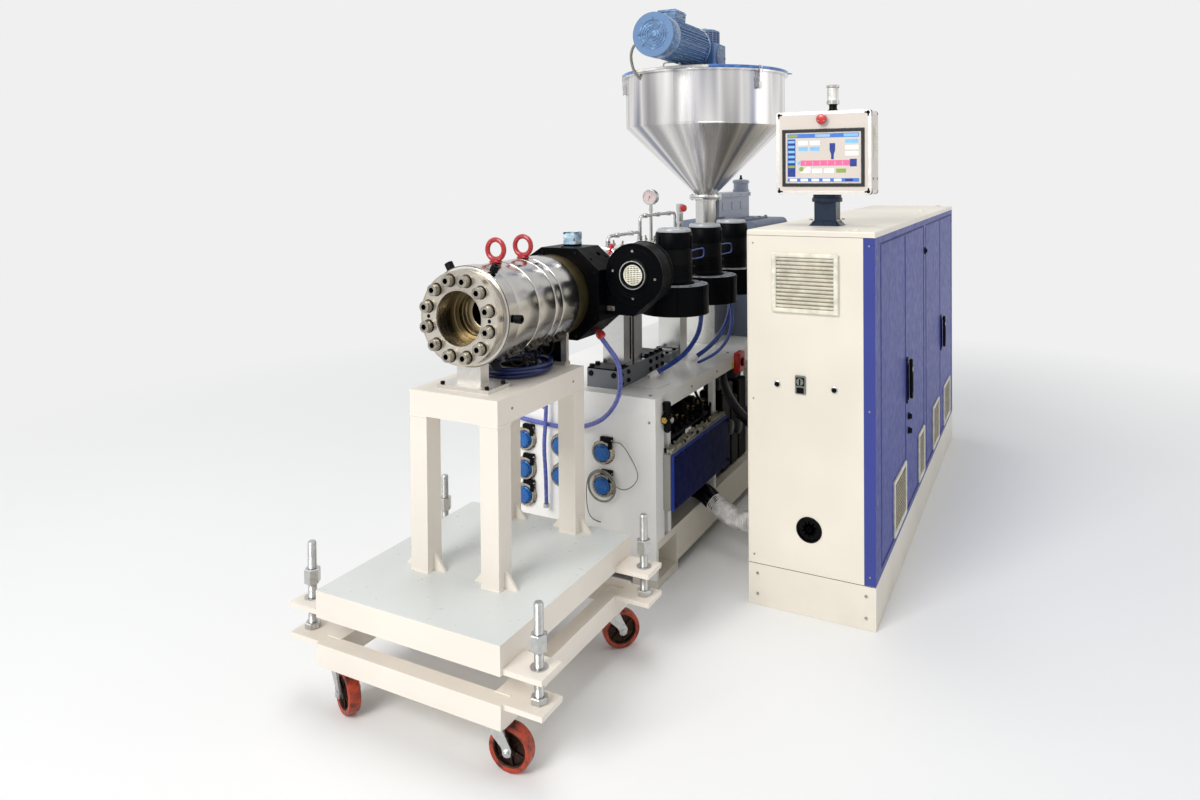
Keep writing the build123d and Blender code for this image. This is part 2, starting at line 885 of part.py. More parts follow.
# Barrel supports: a slotted column on a clamp, and a plain column farther back
column_top = axis_height - barrel_radius * 0.85
with BuildPart() as barrel_supports:
    with BuildSketch(level(base_top, 0, clamp_place + clamp_length / 2)):
        Rectangle(clamp_width, clamp_length)
    extrude(amount=clamp_height)
    chamfer(barrel_supports.faces().sort_by(Axis.Z)[-1].edges(), sheet)
    with BuildSketch(level(base_top + clamp_height, 0, column_place + column_length / 2)):
        Rectangle(column_width, column_length)
        with Locations((column_width / 2, 0), (-column_width / 2, 0)):
            Rectangle(2 * column_slot_depth, column_slot_width, mode=Mode.SUBTRACT)
    extrude(amount=column_top - base_top - clamp_height)
    with BuildSketch(level(base_top, 0, rear_column_place + rear_column_length / 2)):
        Rectangle(rear_column_width, rear_column_length)
    extrude(amount=column_top - base_top)
    with BuildSketch(across(adapter_end)):
        Circle(barrel_radius + seat_gap)
    extrude(amount=barrel_length, mode=Mode.SUBTRACT)
barrel_supports.part.label = "barrel_supports"
export_step(barrel_supports.part, "parts/barrel_supports.step")

# Zone fans: a flat round housing with a short duct to the barrel, and a motor standing on it
with BuildPart() as fan_housings:
    with BuildSketch(level(fan_bottom)):
        with Locations(*[(fan_offset, place) for place in fan_places]):
            Circle(fan_radius)
    extrude(amount=fan_height)
    with BuildSketch(level(fan_bottom + (fan_height - fan_duct_height) / 2)):
        with Locations(*[(fan_offset / 2, place) for place in fan_places]):
            Rectangle(fan_offset, fan_duct_width)
    extrude(amount=fan_duct_height)
    with BuildSketch(across(adapter_end)):
        Circle(barrel_radius + seat_gap)
        with Locations((barrel_radius, 0)):
            Rectangle(2 * barrel_radius, 4 * barrel_radius)
    extrude(amount=barrel_length, mode=Mode.SUBTRACT)
fan_housings.part.label = "fan_housings"
export_step(fan_housings.part, "parts/fan_housings.step")

with BuildPart() as fan_motors:
    with BuildSketch(level(fan_bottom + fan_height)):
        with Locations(*[(fan_offset, place) for place in fan_places]):
            Circle(fan_motor_radius)
    extrude(amount=fan_motor_height)
    with BuildSketch(level(fan_bottom + fan_height + fan_motor_height)):
        with Locations(*[(fan_offset, place) for place in fan_places]):
            Circle(fan_cap_radius)
    extrude(amount=fan_cap_height, taper=20)
fan_motors.part.label = "fan_motors"
export_step(fan_motors.part, "parts/fan_motors.step")

# Cooling pipes on the barrel, with the gauge and the valve
with BuildPart() as cooling_pipes:
    for start, end, rise in pipe_spans:
        with BuildLine() as pipe_path:
            FilletPolyline(
                (ax, face_y + start, barrel_top),
                (ax, face_y + start, barrel_top + rise),
                (ax, face_y + end, barrel_top + rise),
                (ax, face_y + end, barrel_top),
                radius=pipe_bend,
            )
        with BuildSketch(level(barrel_top, 0, start)):
            Circle(pipe_radius)
        sweep(path=pipe_path.line)
    with BuildSketch(level(barrel_top, 0, gauge_place)):
        Circle(pipe_radius)
    extrude(amount=gauge_rise)
    with BuildSketch(across(gauge_place - gauge_length / 2, 0, barrel_top + gauge_rise)):
        Circle(gauge_radius)
    extrude(amount=gauge_length)
    with BuildSketch(level(barrel_top, 0, valve_place)):
        Circle(valve_body_radius)
    extrude(amount=valve_rise)
    with BuildSketch(level(barrel_top + valve_rise, 0, valve_place)):
        Circle(valve_cap_radius)
    extrude(amount=2 * valve_cap_radius)
cooling_pipes.part.label = "cooling_pipes"
export_step(cooling_pipes.part, "parts/cooling_pipes.step")

# Feed throat: block on its pedestal, with the tube up to the hopper
throat_middle = throat_block_place + throat_block_length / 2
with BuildPart() as feed_throat:
    with BuildSketch(level(throat_block_bottom, 0, throat_middle)):
        Rectangle(throat_block_width, throat_block_length)
    extrude(amount=throat_block_top - throat_block_bottom)
    with BuildSketch(level(base_top, 0, throat_middle)):
        Rectangle(throat_pedestal_width, throat_block_length - 2 * base_wall)
    extrude(amount=throat_block_bottom - base_top)
    with BuildSketch(level(throat_block_top, 0, hopper_place)):
        Circle(throat_radius)
        Circle(throat_radius - sheet, mode=Mode.SUBTRACT)
    extrude(amount=cone_bottom - throat_block_top)
feed_throat.part.label = "feed_throat"
export_step(feed_throat.part, "parts/feed_throat.step")

# Gearbox behind the feed block, with the coupling guard
gearbox_front = throat_block_place + throat_block_length
with BuildPart() as gearbox:
    with BuildSketch(level(base_top, 0, gearbox_front + gearbox_length / 2)):
        Rectangle(gearbox_width, gearbox_length)
    extrude(amount=gearbox_top - base_top)
    fillet(gearbox.edges().filter_by(Axis.Y).group_by(Axis.Z)[-1], gearbox_round)
    with BuildSketch(across(gearbox_front + gearbox_length, 0, drive_height)):
        Circle(guard_radius)
    extrude(amount=guard_length)
gearbox.part.label = "gearbox"
export_step(gearbox.part, "parts/gearbox.step")

# Main motor on its feet
drive_front = gearbox_front + gearbox_length + guard_length
with BuildPart() as drive_motor:
    with BuildSketch(across(drive_front, 0, drive_height)):
        Circle(drive_radius)
    extrude(amount=drive_length)
    with BuildSketch(level(base_top, 0, drive_front + drive_length / 2)):
        Rectangle(drive_foot_width, drive_length * 0.7)
    extrude(amount=drive_height - base_top)
drive_motor.part.label = "drive_motor"
export_step(drive_motor.part, "parts/drive_motor.step")

# Side feeder behind the throat, resting on the gearbox
feeder_front = hopper_place + throat_radius + seat_gap
with BuildPart() as side_feeder:
    with BuildSketch(beside(-feeder_width / 2)):
        with BuildLine():
            Polyline(
                (feeder_front, feeder_bottom),
                (gearbox_front + sheet, feeder_bottom),
                (gearbox_front + sheet, gearbox_top),
                (feeder_rear, gearbox_top),
                (feeder_rear, feeder_top),
                (feeder_front, feeder_top),
                close=True,
            )
        make_face()
    extrude(amount=feeder_width)
    with BuildSketch(level(gearbox_top, 0, feeder_rear + feeder_tube_radius / 2)):
        Circle(feeder_tube_radius)
    extrude(amount=feeder_top + feeder_tube_rise - gearbox_top)
side_feeder.part.label = "side_feeder"
export_step(side_feeder.part, "parts/side_feeder.step")

# Hopper: a cone and a cylinder of sheet, with a rim
with BuildPart() as hopper_shell:
    with BuildSketch(Plane((ax, face_y + hopper_place, 0), x_dir=(1, 0, 0), z_dir=(0, -1, 0))):
        with BuildLine():
            Polyline(
                (throat_radius - sheet, cone_bottom),
                (throat_radius, cone_bottom),
                (hopper_radius, cylinder_bottom),
                (hopper_radius, hopper_rim - rim_height),
                (hopper_radius + rim_width, hopper_rim - rim_height),
                (hopper_radius + rim_width, hopper_rim),
                (hopper_radius - sheet, hopper_rim),
                (hopper_radius - sheet, cylinder_bottom + sheet / 2),
                close=True,
            )
        make_face()
    revolve(axis=Axis((ax, face_y + hopper_place, 0), (0, 0, 1)))
    for turn in latch_turns:
        out = (cos(radians(turn)), sin(radians(turn)), 0)
        latch_middle = (ax, face_y + hopper_place, hopper_rim - latch_height / 2)
        latch_plane = Plane(latch_middle, x_dir=(-out[1], out[0], 0), z_dir=out)
        with BuildSketch(latch_plane.offset(hopper_radius - sheet / 2)):
            Rectangle(latch_width, latch_height)
        extrude(amount=latch_reach)
hopper_shell.part.label = "hopper_shell"
export_step(hopper_shell.part, "parts/hopper_shell.step")

with BuildPart() as hopper_lid:
    with BuildSketch(level(hopper_rim, 0, hopper_place)):
        Circle(hopper_radius + rim_width)
    extrude(amount=lid_height)
hopper_lid.part.label = "hopper_lid"
export_step(hopper_lid.part, "parts/hopper_lid.step")

# Stirrer drive on the lid: its gearbox, and its motor lying along the extruder
lid_top = hopper_rim + lid_height
stirrer_front = stirrer_motor_front + cowl_length
stirrer_middle = lid_top + stirrer_motor_rise
with BuildPart() as stirrer_drive:
    with BuildSketch(level(lid_top, 0, hopper_place)):
        Rectangle(stirrer_box_width, stirrer_box_width)
    extrude(amount=stirrer_box_height)
    fillet(stirrer_drive.edges().filter_by(Axis.Z), 3 * sheet)
    with BuildSketch(level(lid_top + stirrer_box_height, 0, hopper_place)):
        Circle(stirrer_fin_radius)
    extrude(amount=stirrer_fin_height)
    with BuildSketch(across(stirrer_motor_front, 0, stirrer_middle)):
        Circle(cowl_radius)
    extrude(amount=cowl_length)
    with BuildSketch(across(stirrer_front, 0, stirrer_middle)):
        Circle(stirrer_motor_radius)
        with PolarLocations(stirrer_motor_radius, fin_count):
            Rectangle(2 * fin_reach, fin_width)
    extrude(amount=stirrer_motor_length)
    with BuildSketch(across(stirrer_front + stirrer_motor_length, 0, stirrer_middle)):
        Circle(stirrer_neck_radius)
    extrude(amount=hopper_place - stirrer_box_width / 2 - stirrer_front - stirrer_motor_length)
    with BuildSketch(level(stirrer_middle, 0, stirrer_front + terminal_length)):
        Rectangle(terminal_width, terminal_length)
    extrude(amount=stirrer_motor_radius + terminal_height)
stirrer_drive.part.label = "stirrer_drive"
export_step(stirrer_drive.part, "parts/stirrer_drive.step")

# Machine base: the deck, the tray with its skirts and feet, and the walls and posts between them
base_width = base_left + base_right
base_middle = (base_right - base_left) / 2
base_rear = base_front + base_length
with BuildPart() as base_deck:
    with BuildSketch(level(base_top - deck_height, base_middle, base_front + base_length / 2)):
        Rectangle(base_width, base_length)
    extrude(amount=deck_height)
    for points in (near_cable_points, far_cable_points):
        gland(points[-1], points[-2], cable_radius, 2.5 * gland_length)
base_deck.part.label = "base_deck"
export_step(base_deck.part, "parts/base_deck.step")

tray_length = base_length - base_wall
foot_x = base_width / 2 - foot_width / 2
foot_starts = (base_wall, middle_post_place, base_length - foot_length)
with BuildPart() as base_tray:
    with BuildSketch(level(tray_bottom, base_middle, base_front + base_wall + tray_length / 2)):
        Rectangle(base_width, tray_length)
    extrude(amount=tray_height)
    for side in (-1, 1):
        with BuildSketch(level(skirt_bottom, base_middle, base_front)):
            skirt_middle = (base_wall + foot_length + base_length) / 2
            with Locations((side * (base_width - base_wall) / 2, skirt_middle)):
                Rectangle(base_wall, base_length - foot_length - base_wall)
        extrude(amount=tray_bottom - skirt_bottom)
        for start in foot_starts:
            foot_inside = base_middle + side * foot_x - foot_width / 2
            with BuildSketch(beside(foot_inside, base_front + start)):
                with Locations((foot_length / 2, tray_bottom / 2)):
                    Rectangle(foot_length, tray_bottom)
                with Locations((foot_length / 2, (tray_bottom + foot_plate_height) / 2)):
                    Rectangle(foot_length - 2 * foot_web, tray_bottom - foot_plate_height, mode=Mode.SUBTRACT)
            extrude(amount=foot_width)
            web_place = base_middle + side * (foot_x - foot_width / 2) - foot_web / 2
            with BuildSketch(beside(web_place, base_front + start)):
                with Locations((foot_length / 2, tray_bottom / 2)):
                    Rectangle(foot_length, tray_bottom)
            extrude(amount=foot_web)
    with BuildSketch(level(tray_top, conduit_points[0][0] - terminal_box_width / 2, conduit_points[0][1])):
        Rectangle(terminal_box_width, terminal_box_length)
    extrude(amount=terminal_box_height)
base_tray.part.label = "base_tray"
export_step(base_tray.part, "parts/base_tray.step")

with BuildPart() as base_walls:
    with BuildSketch(level(skirt_bottom, base_middle, base_front + base_wall / 2)):
        Rectangle(base_width, base_wall)
    extrude(amount=base_top - deck_height - skirt_bottom)
    with BuildSketch(level(tray_top, base_middle, base_rear - base_wall / 2)):
        Rectangle(base_width, base_wall)
    extrude(amount=base_top - deck_height - tray_top)
    with BuildSketch(level(tray_top, base_middle, base_front)):
        for start in (base_wall, middle_post_place, base_length - base_wall - base_post_length):
            for side in (-1, 1):
                with Locations((side * (base_width - base_post_width) / 2, start + base_post_length / 2)):
                    Rectangle(base_post_width, base_post_length)
        cover_x = base_width / 2 - cover_inset - cover_thickness / 2
        rear_start = middle_post_place + base_post_length
        rear_end = base_length - base_wall - base_post_length
        bays = (
            (-1, base_wall + base_post_length, middle_post_place),
            (1, rear_start, rear_end),
        )
        for side, start, end in bays:
            with Locations((side * cover_x, (start + end) / 2)):
                Rectangle(cover_thickness, end - start - 2 * seat_gap)
    extrude(amount=base_top - deck_height - tray_top)
base_walls.part.label = "base_walls"
export_step(base_walls.part, "parts/base_walls.step")

# Utility sockets on the base front, each with its cap and hinge block
with BuildPart() as utility_sockets:
    for offset, drop in socket_places:
        height = base_top - drop
        with BuildSketch(across(base_front, offset, height)):
            Circle(socket_radius)
        extrude(amount=-socket_length)
        with BuildSketch(across(base_front - socket_length, offset, height)):
            Circle(socket_cap_radius)
        extrude(amount=-socket_cap_length)
        block_middle = height + socket_radius + socket_block_height / 4
        with BuildSketch(across(base_front, offset + socket_block_shift, block_middle)):
            Rectangle(socket_block_width, socket_block_height)
        extrude(amount=-socket_block_length)
    for end, before in ((hose_points[-1], hose_points[-2]), (riser_points[0], riser_points[1])):
        gland(end, before, hose_radius - gland_wall, gland_length)
    gland(riser_points[-1], riser_points[-2], riser_radius - gland_wall / 2, gland_length)
    for x, y, z in (
        (hose_points[-1][0] - gland_length, hose_points[-1][1], hose_points[-1][2]),
        (riser_points[0][0], riser_points[0][1], riser_points[0][2] + gland_length),
        (riser_points[-1][0], riser_points[-1][1], riser_points[-1][2] - gland_length),
    ):
        with BuildSketch(across(y - hose_radius - 1, x, z)):
            Rectangle(2 * hose_radius + 4, 2 * hose_radius + 4)
        extrude(amount=base_front - y + hose_radius + 1)
utility_sockets.part.label = "utility_sockets"
export_step(utility_sockets.part, "parts/utility_sockets.step")

# Valve panel standing out of the base's side, on two struts between the tray and the deck
panel_bottom = tray_top + conduit_rise + conduit_radius + panel_lift
panel_height = base_top - panel_drop - panel_bottom
panel_middle = panel_place + panel_length / 2
panel_plate = panel_depth - panel_cover
with BuildPart() as valve_panel:
    with BuildSketch(beside(base_right, panel_middle, panel_bottom + panel_height / 2)):
        Rectangle(panel_length, panel_height)
    extrude(amount=panel_plate)
    with BuildSketch(beside(base_right + panel_plate, panel_middle, panel_bottom + panel_height / 2)):
        Rectangle(panel_length - 2 * panel_cover_edge, panel_height - panel_cover_edge)
    extrude(amount=panel_cover)
    with BuildSketch(level(panel_bottom + panel_height, base_right + panel_plate / 2, panel_middle)):
        with GridLocations(0, panel_length / (connector_count + 1), 1, connector_count):
            Circle(connector_radius)
    extrude(amount=connector_height)
    with BuildSketch(level(tray_top, base_right - panel_strut_width / 2, panel_place)):
        with Locations((0, panel_length * 0.1), (0, panel_length * 0.9)):
            Rectangle(panel_strut_width, panel_strut_width)
    extrude(amount=base_top - deck_height - tray_top)
valve_panel.part.label = "valve_panel"
export_step(valve_panel.part, "parts/valve_panel.step")

# Air regulator at the base's front corner, and the isolator farther back on the deck's side
regulator_height = base_top - regulator_drop
with BuildPart() as side_fittings:
    with BuildSketch(level(regulator_height, base_right + regulator_body / 2, regulator_place)):
        Rectangle(regulator_body, regulator_body)
    extrude(amount=regulator_body)
    regulator_top = regulator_height + regulator_body
    with BuildSketch(level(regulator_top, base_right + regulator_body / 2, regulator_place)):
        Circle(regulator_knob_radius)
    extrude(amount=regulator_knob_height)
    with BuildSketch(level(regulator_height, base_right + regulator_body / 2, regulator_place)):
        Circle(regulator_bowl_radius)
    extrude(amount=-regulator_bowl_height)
    with BuildSketch(beside(base_right, isolator_place + isolator_length / 2, base_top - isolator_drop)):
        Rectangle(isolator_length, isolator_height)
    extrude(amount=isolator_depth)
side_fittings.part.label = "side_fittings"
export_step(side_fittings.part, "parts/side_fittings.step")

# Control cabinet: plinth, walls, the door frame on its right side, and the roof
cabinet_width = cabinet_right - cabinet_left
cabinet_middle = (cabinet_right + cabinet_left) / 2
cabinet_mid_y = cabinet_front + cabinet_length / 2
cabinet_rear = cabinet_front + cabinet_length
roof_bottom = cabinet_top - roof_height
with BuildPart() as cabinet_plinth:
    with BuildSketch(level(0, cabinet_middle, cabinet_mid_y)):
        Rectangle(cabinet_width, cabinet_length)
    extrude(amount=plinth_height)
cabinet_plinth.part.label = "cabinet_plinth"
export_step(cabinet_plinth.part, "parts/cabinet_plinth.step")

frame_x = cabinet_right - door_frame_depth
with BuildPart() as cabinet_walls:
    with BuildSketch(level(roof_bottom, cabinet_middle, cabinet_mid_y)):
        Rectangle(cabinet_width, cabinet_length)
    extrude(amount=roof_height)
    chamfer(cabinet_walls.faces().sort_by(Axis.Z)[-1].edges(), sheet)
    with BuildSketch(level(plinth_height)):
        with BuildLine():
            Polyline(
                (frame_x, cabinet_front),
                (cabinet_left, cabinet_front),
                (cabinet_left, cabinet_rear),
                (frame_x, cabinet_rear),
                (frame_x, cabinet_rear - cabinet_wall),
                (cabinet_left + cabinet_wall, cabinet_rear - cabinet_wall),
                (cabinet_left + cabinet_wall, cabinet_front + cabinet_wall),
                (frame_x, cabinet_front + cabinet_wall),
                close=True,
            )
        make_face()
    extrude(amount=roof_bottom - plinth_height)
    with BuildSketch(across(cabinet_front, cable_hole_offset, cable_hole_height)):
        Circle(cable_hole_radius)
    extrude(amount=cabinet_wall, mode=Mode.SUBTRACT)
cabinet_walls.part.label = "cabinet_walls"
export_step(cabinet_walls.part, "parts/cabinet_walls.step")

opening_length = (cabinet_length - front_post_length - middle_post_length - rear_post_length) / 2
opening_starts = (front_post_length, front_post_length + opening_length + middle_post_length)
door_bottom = plinth_height + door_frame_rail + door_height_gap
door_top = roof_bottom - door_frame_rail - door_height_gap
hinge_gap = door_thickness / 2 - hinge_pin_radius + door_height_gap / 2
door_length = (opening_length - 2 * hinge_gap - door_height_gap) / 2
hinge_inset = door_thickness / 2
hinge_x = cabinet_right - hinge_inset
hinge_places = []
for start in opening_starts:
    hinge_places.append(cabinet_front + start + hinge_gap + hinge_inset)
    hinge_places.append(cabinet_front + start + opening_length - hinge_gap - hinge_inset)

frame_middle = (plinth_height + roof_bottom) / 2
rail_shift = roof_bottom - plinth_height - door_frame_rail
frame_posts = (
    (front_post_length / 2, front_post_length),
    (front_post_length + opening_length + middle_post_length / 2, middle_post_length),
    (cabinet_length - rear_post_length / 2, rear_post_length),
)
with BuildPart() as cabinet_frame:
    with BuildSketch(beside(frame_x, cabinet_mid_y, frame_middle)):
        with GridLocations(0, rail_shift, 1, 2):
            Rectangle(cabinet_length, door_frame_rail)
    extrude(amount=door_frame_depth)
    with BuildSketch(beside(frame_x, cabinet_front, frame_middle)):
        for place, length in frame_posts:
            with Locations((place, 0)):
                Rectangle(length, rail_shift - door_frame_rail - 2 * seat_gap)
    extrude(amount=door_frame_depth)
    for hinge_place in hinge_places:
        for plane_z, reach in ((door_bottom - door_height_gap, -1), (door_top + door_height_gap, 1)):
            with BuildSketch(level(plane_z, hinge_x, hinge_place)):
                Circle(hinge_pin_radius + pin_gap)
            extrude(amount=reach * (hinge_pin_length - door_height_gap + 1), mode=Mode.SUBTRACT)
cabinet_frame.part.label = "cabinet_frame"
export_step(cabinet_frame.part, "parts/cabinet_frame.step")

# Mounting plate inside, on two rails along the left wall
with BuildPart() as mounting_plate:
    with BuildSketch(level(plinth_height, cabinet_left + cabinet_wall + mounting_plate_gap, cabinet_mid_y)):
        Rectangle(sheet, mounting_plate_length)
    extrude(amount=mounting_plate_height)
    with BuildSketch(beside(cabinet_left + cabinet_wall, cabinet_mid_y, plinth_height)):
        with Locations((0, mounting_plate_height * 0.15), (0, mounting_plate_height * 0.85)):
            Rectangle(mounting_plate_length, mounting_plate_gap)
    extrude(amount=mounting_plate_gap)
mounting_plate.part.label = "mounting_plate"
export_step(mounting_plate.part, "parts/mounting_plate.step")

# Cabinet doors: hung in pairs on pins at their outer edges, with a handle on the second of each pair
door_middle = (door_bottom + door_top) / 2
pin_top = handle_height + handle_plate_height / 2 - handle_hub_radius - sheet
for number, hinge_place in enumerate(hinge_places, start=1):
    side = 1 if number % 2 else -1
    middle_y = hinge_place + side * (door_length / 2 - hinge_inset)
    with BuildPart() as cabinet_door:
        with BuildSketch(beside(cabinet_right - door_thickness, middle_y, door_middle)):
            Rectangle(door_length, door_top - door_bottom)
        extrude(amount=door_thickness)
        fillet(cabinet_door.faces().sort_by(Axis.X)[-1].edges(), door_round)
        for plane_z, reach in ((door_bottom, -1), (door_top, 1)):
            with BuildSketch(level(plane_z, hinge_x, hinge_place)):
                Circle(hinge_pin_radius)
            extrude(amount=reach * hinge_pin_length)
        if side < 0:
            handle_y = middle_y - door_length / 2 + handle_inset
            with BuildSketch(beside(cabinet_right, handle_y, handle_height)):
                RectangleRounded(handle_plate_width, handle_plate_height, handle_plate_width / 4)
            extrude(amount=handle_plate_depth)
            with BuildSketch(beside(cabinet_right, handle_y, pin_top)):
                Circle(handle_pin_radius)
            extrude(amount=handle_reach)
    door_name = f"cabinet_door_{number}"
    cabinet_door.part.label = door_name
    export_step(cabinet_door.part, f"parts/{door_name}.step")

    if side < 0:
        with BuildPart() as door_handle:
            with BuildSketch(beside(cabinet_right + handle_plate_depth + moving_gap, handle_y, pin_top)):
                Circle(handle_hub_radius)
                with Locations((0, -handle_lever_length / 2)):
                    Rectangle(handle_lever_width, handle_lever_length)
                Circle(handle_pin_radius + pin_gap, mode=Mode.SUBTRACT)
            extrude(amount=handle_lever_depth)
            fillet(door_handle.faces().sort_by(Axis.Z)[0].edges().filter_by(Axis.X), handle_lever_width / 3)
        handle_name = f"door_handle_{number}"
        door_handle.part.label = handle_name
        export_step(door_handle.part, f"parts/{handle_name}.step")

# Louvre grille on the cabinet's front
with BuildPart() as louvre_grille:
    with BuildSketch(across(cabinet_front, grille_offset, grille_height)):
        RectangleRounded(grille_width, grille_tall, grille_border)
        Rectangle(grille_width - 2 * grille_border, grille_tall - 2 * grille_border, mode=Mode.SUBTRACT)
    extrude(amount=-grille_depth)
    slat_pitch = (grille_tall - 2 * grille_border) / grille_slats
    with BuildSketch(across(cabinet_front, grille_offset, grille_height)):
        with GridLocations(0, slat_pitch, 1, grille_slats):
            Rectangle(grille_width - grille_border, grille_slat_height)
    extrude(amount=-grille_depth * 0.7)
louvre_grille.part.label = "louvre_grille"
export_step(louvre_grille.part, "parts/louvre_grille.step")

# Main switch and two buttons on the cabinet, and the stop button on the operator panel
with BuildPart() as operator_controls:
    with BuildSketch(across(cabinet_front, switch_offset, switch_height)):
        RectangleRounded(switch_width, switch_tall, sheet)
    extrude(amount=-switch_depth)
    with BuildSketch(across(cabinet_front, 0, button_height)):
        with Locations(*[(-offset, 0) for offset in button_offsets]):
            Circle(button_radius)
    extrude(amount=-button_length)
    with BuildSketch(across(hmi_front, hmi_offset, hmi_bottom + stop_rise)):
        Circle(stop_radius * 0.6)
    extrude(amount=-stop_length)
    with BuildSketch(across(hmi_front - stop_length / 2, hmi_offset, hmi_bottom + stop_rise)):
        Circle(stop_radius)
    extrude(amount=-stop_length / 2)
operator_controls.part.label = "operator_controls"
export_step(operator_controls.part, "parts/operator_controls.step")

# Operator panel: flared post, box and screen, with the beacon on top
hmi_middle = hmi_front + hmi_depth / 2
with BuildPart() as hmi_post:
    with BuildSketch(level(cabinet_top, hmi_offset, hmi_middle)):
        RectangleRounded(post_flare_width, post_flare_length, post_flare_height)
    with BuildSketch(level(cabinet_top + post_flare_height, hmi_offset, hmi_middle)):
        RectangleRounded(post_column_width, post_column_length, sheet)
    loft()
    with BuildSketch(level(cabinet_top + post_flare_height, hmi_offset, hmi_middle)):
        RectangleRounded(post_column_width, post_column_length, sheet)
    extrude(amount=hmi_bottom - cabinet_top - post_flare_height)
hmi_post.part.label = "hmi_post"
export_step(hmi_post.part, "parts/hmi_post.step")

with BuildPart() as hmi_box:
    with BuildSketch(across(hmi_front, hmi_offset, hmi_bottom + hmi_height / 2)):
        RectangleRounded(hmi_width, hmi_height, hmi_round)
    extrude(amount=hmi_depth)
    with BuildSketch(across(hmi_front, hmi_offset, hmi_bottom + screen_rise)):
        Rectangle(screen_width, screen_height)
    extrude(amount=screen_depth, mode=Mode.SUBTRACT)
hmi_box.part.label = "hmi_box"
export_step(hmi_box.part, "parts/hmi_box.step")

with BuildPart() as beacon_lamp:
    with BuildSketch(level(hmi_bottom + hmi_height, beacon_offset, hmi_middle)):
        Circle(beacon_base_radius)
    extrude(amount=beacon_base_height)
    with BuildSketch(level(hmi_bottom + hmi_height + beacon_base_height, beacon_offset, hmi_middle)):
        Circle(beacon_radius)
    extrude(amount=beacon_height - beacon_base_height)
beacon_lamp.part.label = "beacon_lamp"
export_step(beacon_lamp.part, "parts/beacon_lamp.step")


# Cords: a tube along each one's points, and the coil that lies on the portal behind the die's post
cords = (
    ("power_conduit", conduit_points, conduit_radius),
    ("die_hose", hose_points, hose_radius),
    ("riser_hose", riser_points, riser_radius),
    ("near_fan_cable", near_cable_points, cable_radius),
    ("far_fan_cable", far_cable_points, cable_radius),
)
for cord_name, points, radius in cords:
    with BuildPart() as cord:
        with BuildLine() as cord_path:
            FilletPolyline(*[placed(point) for point in points], radius=cord_radii(points))
        with BuildSketch(Plane(cord_path.line @ 0, z_dir=cord_path.line % 0)):
            Circle(radius)
        sweep(path=cord_path.line)
    cord_length = sum(edge.length for edge in cord_path.edges())
    print(cord_name, "radii", [round(value) for value in cord_radii(points)], "length", round(cord_length))
    cord.part.label = cord_name
    export_step(cord.part, f"parts/{cord_name}.step")

coil_place = cradle_place - cradle_foot_length / 2 - seat_gap - coil_radius - coil_section
with BuildPart() as cable_coil:
    with BuildSketch(Plane((ax, face_y + coil_place, portal_top), x_dir=(1, 0, 0), z_dir=(0, -1, 0))):
        with Locations((coil_radius, coil_section * 0.8)):
            Ellipse(coil_section, coil_section * 0.8)
    revolve(axis=Axis((ax, face_y + coil_place, portal_top), (0, 0, 1)))
cable_coil.part.label = "cable_coil"
export_step(cable_coil.part, "parts/cable_coil.step")
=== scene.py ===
import random
from itertools import product
from math import atan2, cos, degrees, pi, radians, sin, sqrt, tan

import bmesh
import bpy
from mathutils import Matrix, Vector, noise


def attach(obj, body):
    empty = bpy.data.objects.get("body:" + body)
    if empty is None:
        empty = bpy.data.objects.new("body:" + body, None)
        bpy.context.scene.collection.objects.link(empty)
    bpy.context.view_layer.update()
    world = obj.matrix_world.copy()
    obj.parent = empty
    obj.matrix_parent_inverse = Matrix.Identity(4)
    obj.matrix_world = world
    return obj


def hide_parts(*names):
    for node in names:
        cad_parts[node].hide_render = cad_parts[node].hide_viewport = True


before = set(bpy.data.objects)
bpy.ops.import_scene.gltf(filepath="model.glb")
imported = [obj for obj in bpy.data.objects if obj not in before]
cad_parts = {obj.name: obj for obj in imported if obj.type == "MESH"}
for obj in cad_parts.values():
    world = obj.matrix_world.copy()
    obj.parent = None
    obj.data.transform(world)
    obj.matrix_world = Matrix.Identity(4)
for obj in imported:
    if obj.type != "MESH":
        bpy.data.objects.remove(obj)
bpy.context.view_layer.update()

print("stage: frame loaded,", len(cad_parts), "nodes")

# The drawing's own numbers: millimetres from the extruder axis, the die face and the floor
drawing = {"axisX": -317, "faceY": -1541, "axisZ": 1150}


def at(x, y, z):
    return Vector((drawing["axisX"] + x, drawing["faceY"] + y, z)) * 0.001


# Camera, at the photograph's place and angle
cameraView = {
    "place": (1606, -2027, 1584),
    "turn": 0.4765,
    "tilt": -0.0146,
    "roll": -0.0077,
    "lens": 25.2,
    "shiftX": -0.018,
    "shiftY": -0.178,
}


def placeCamera():
    lens = bpy.data.cameras.new("machineCamera")
    lens.lens = cameraView["lens"]
    lens.sensor_width = 36
    lens.shift_x = cameraView["shiftX"]
    lens.shift_y = cameraView["shiftY"]
    lens.clip_start = 0.05
    lens.clip_end = 80
    camera = bpy.data.objects.new("machineCamera", lens)
    bpy.context.scene.collection.objects.link(camera)
    turn = Matrix.Rotation(cameraView["turn"], 4, "Z")
    tilt = Matrix.Rotation(pi / 2 + cameraView["tilt"], 4, "X")
    roll = Matrix.Rotation(cameraView["roll"], 4, "Z")
    camera.matrix_world = Matrix.Translation(at(*cameraView["place"])) @ turn @ tilt @ roll
    bpy.context.scene.camera = camera


placeCamera()
bpy.context.scene.view_settings.view_transform = "Standard"
print("stage: camera placed")

# Finishes. Colours are the ones seen on the machine, 0 to 255


def tone(red, green, blue):
    def linear(value):
        value = value / 255
        return value / 12.92 if value <= 0.04045 else ((value + 0.055) / 1.055) ** 2.4
    return (linear(red), linear(green), linear(blue), 1)


def shaded(colour, factor):
    return tuple(min(255, max(0, part * factor)) for part in colour)


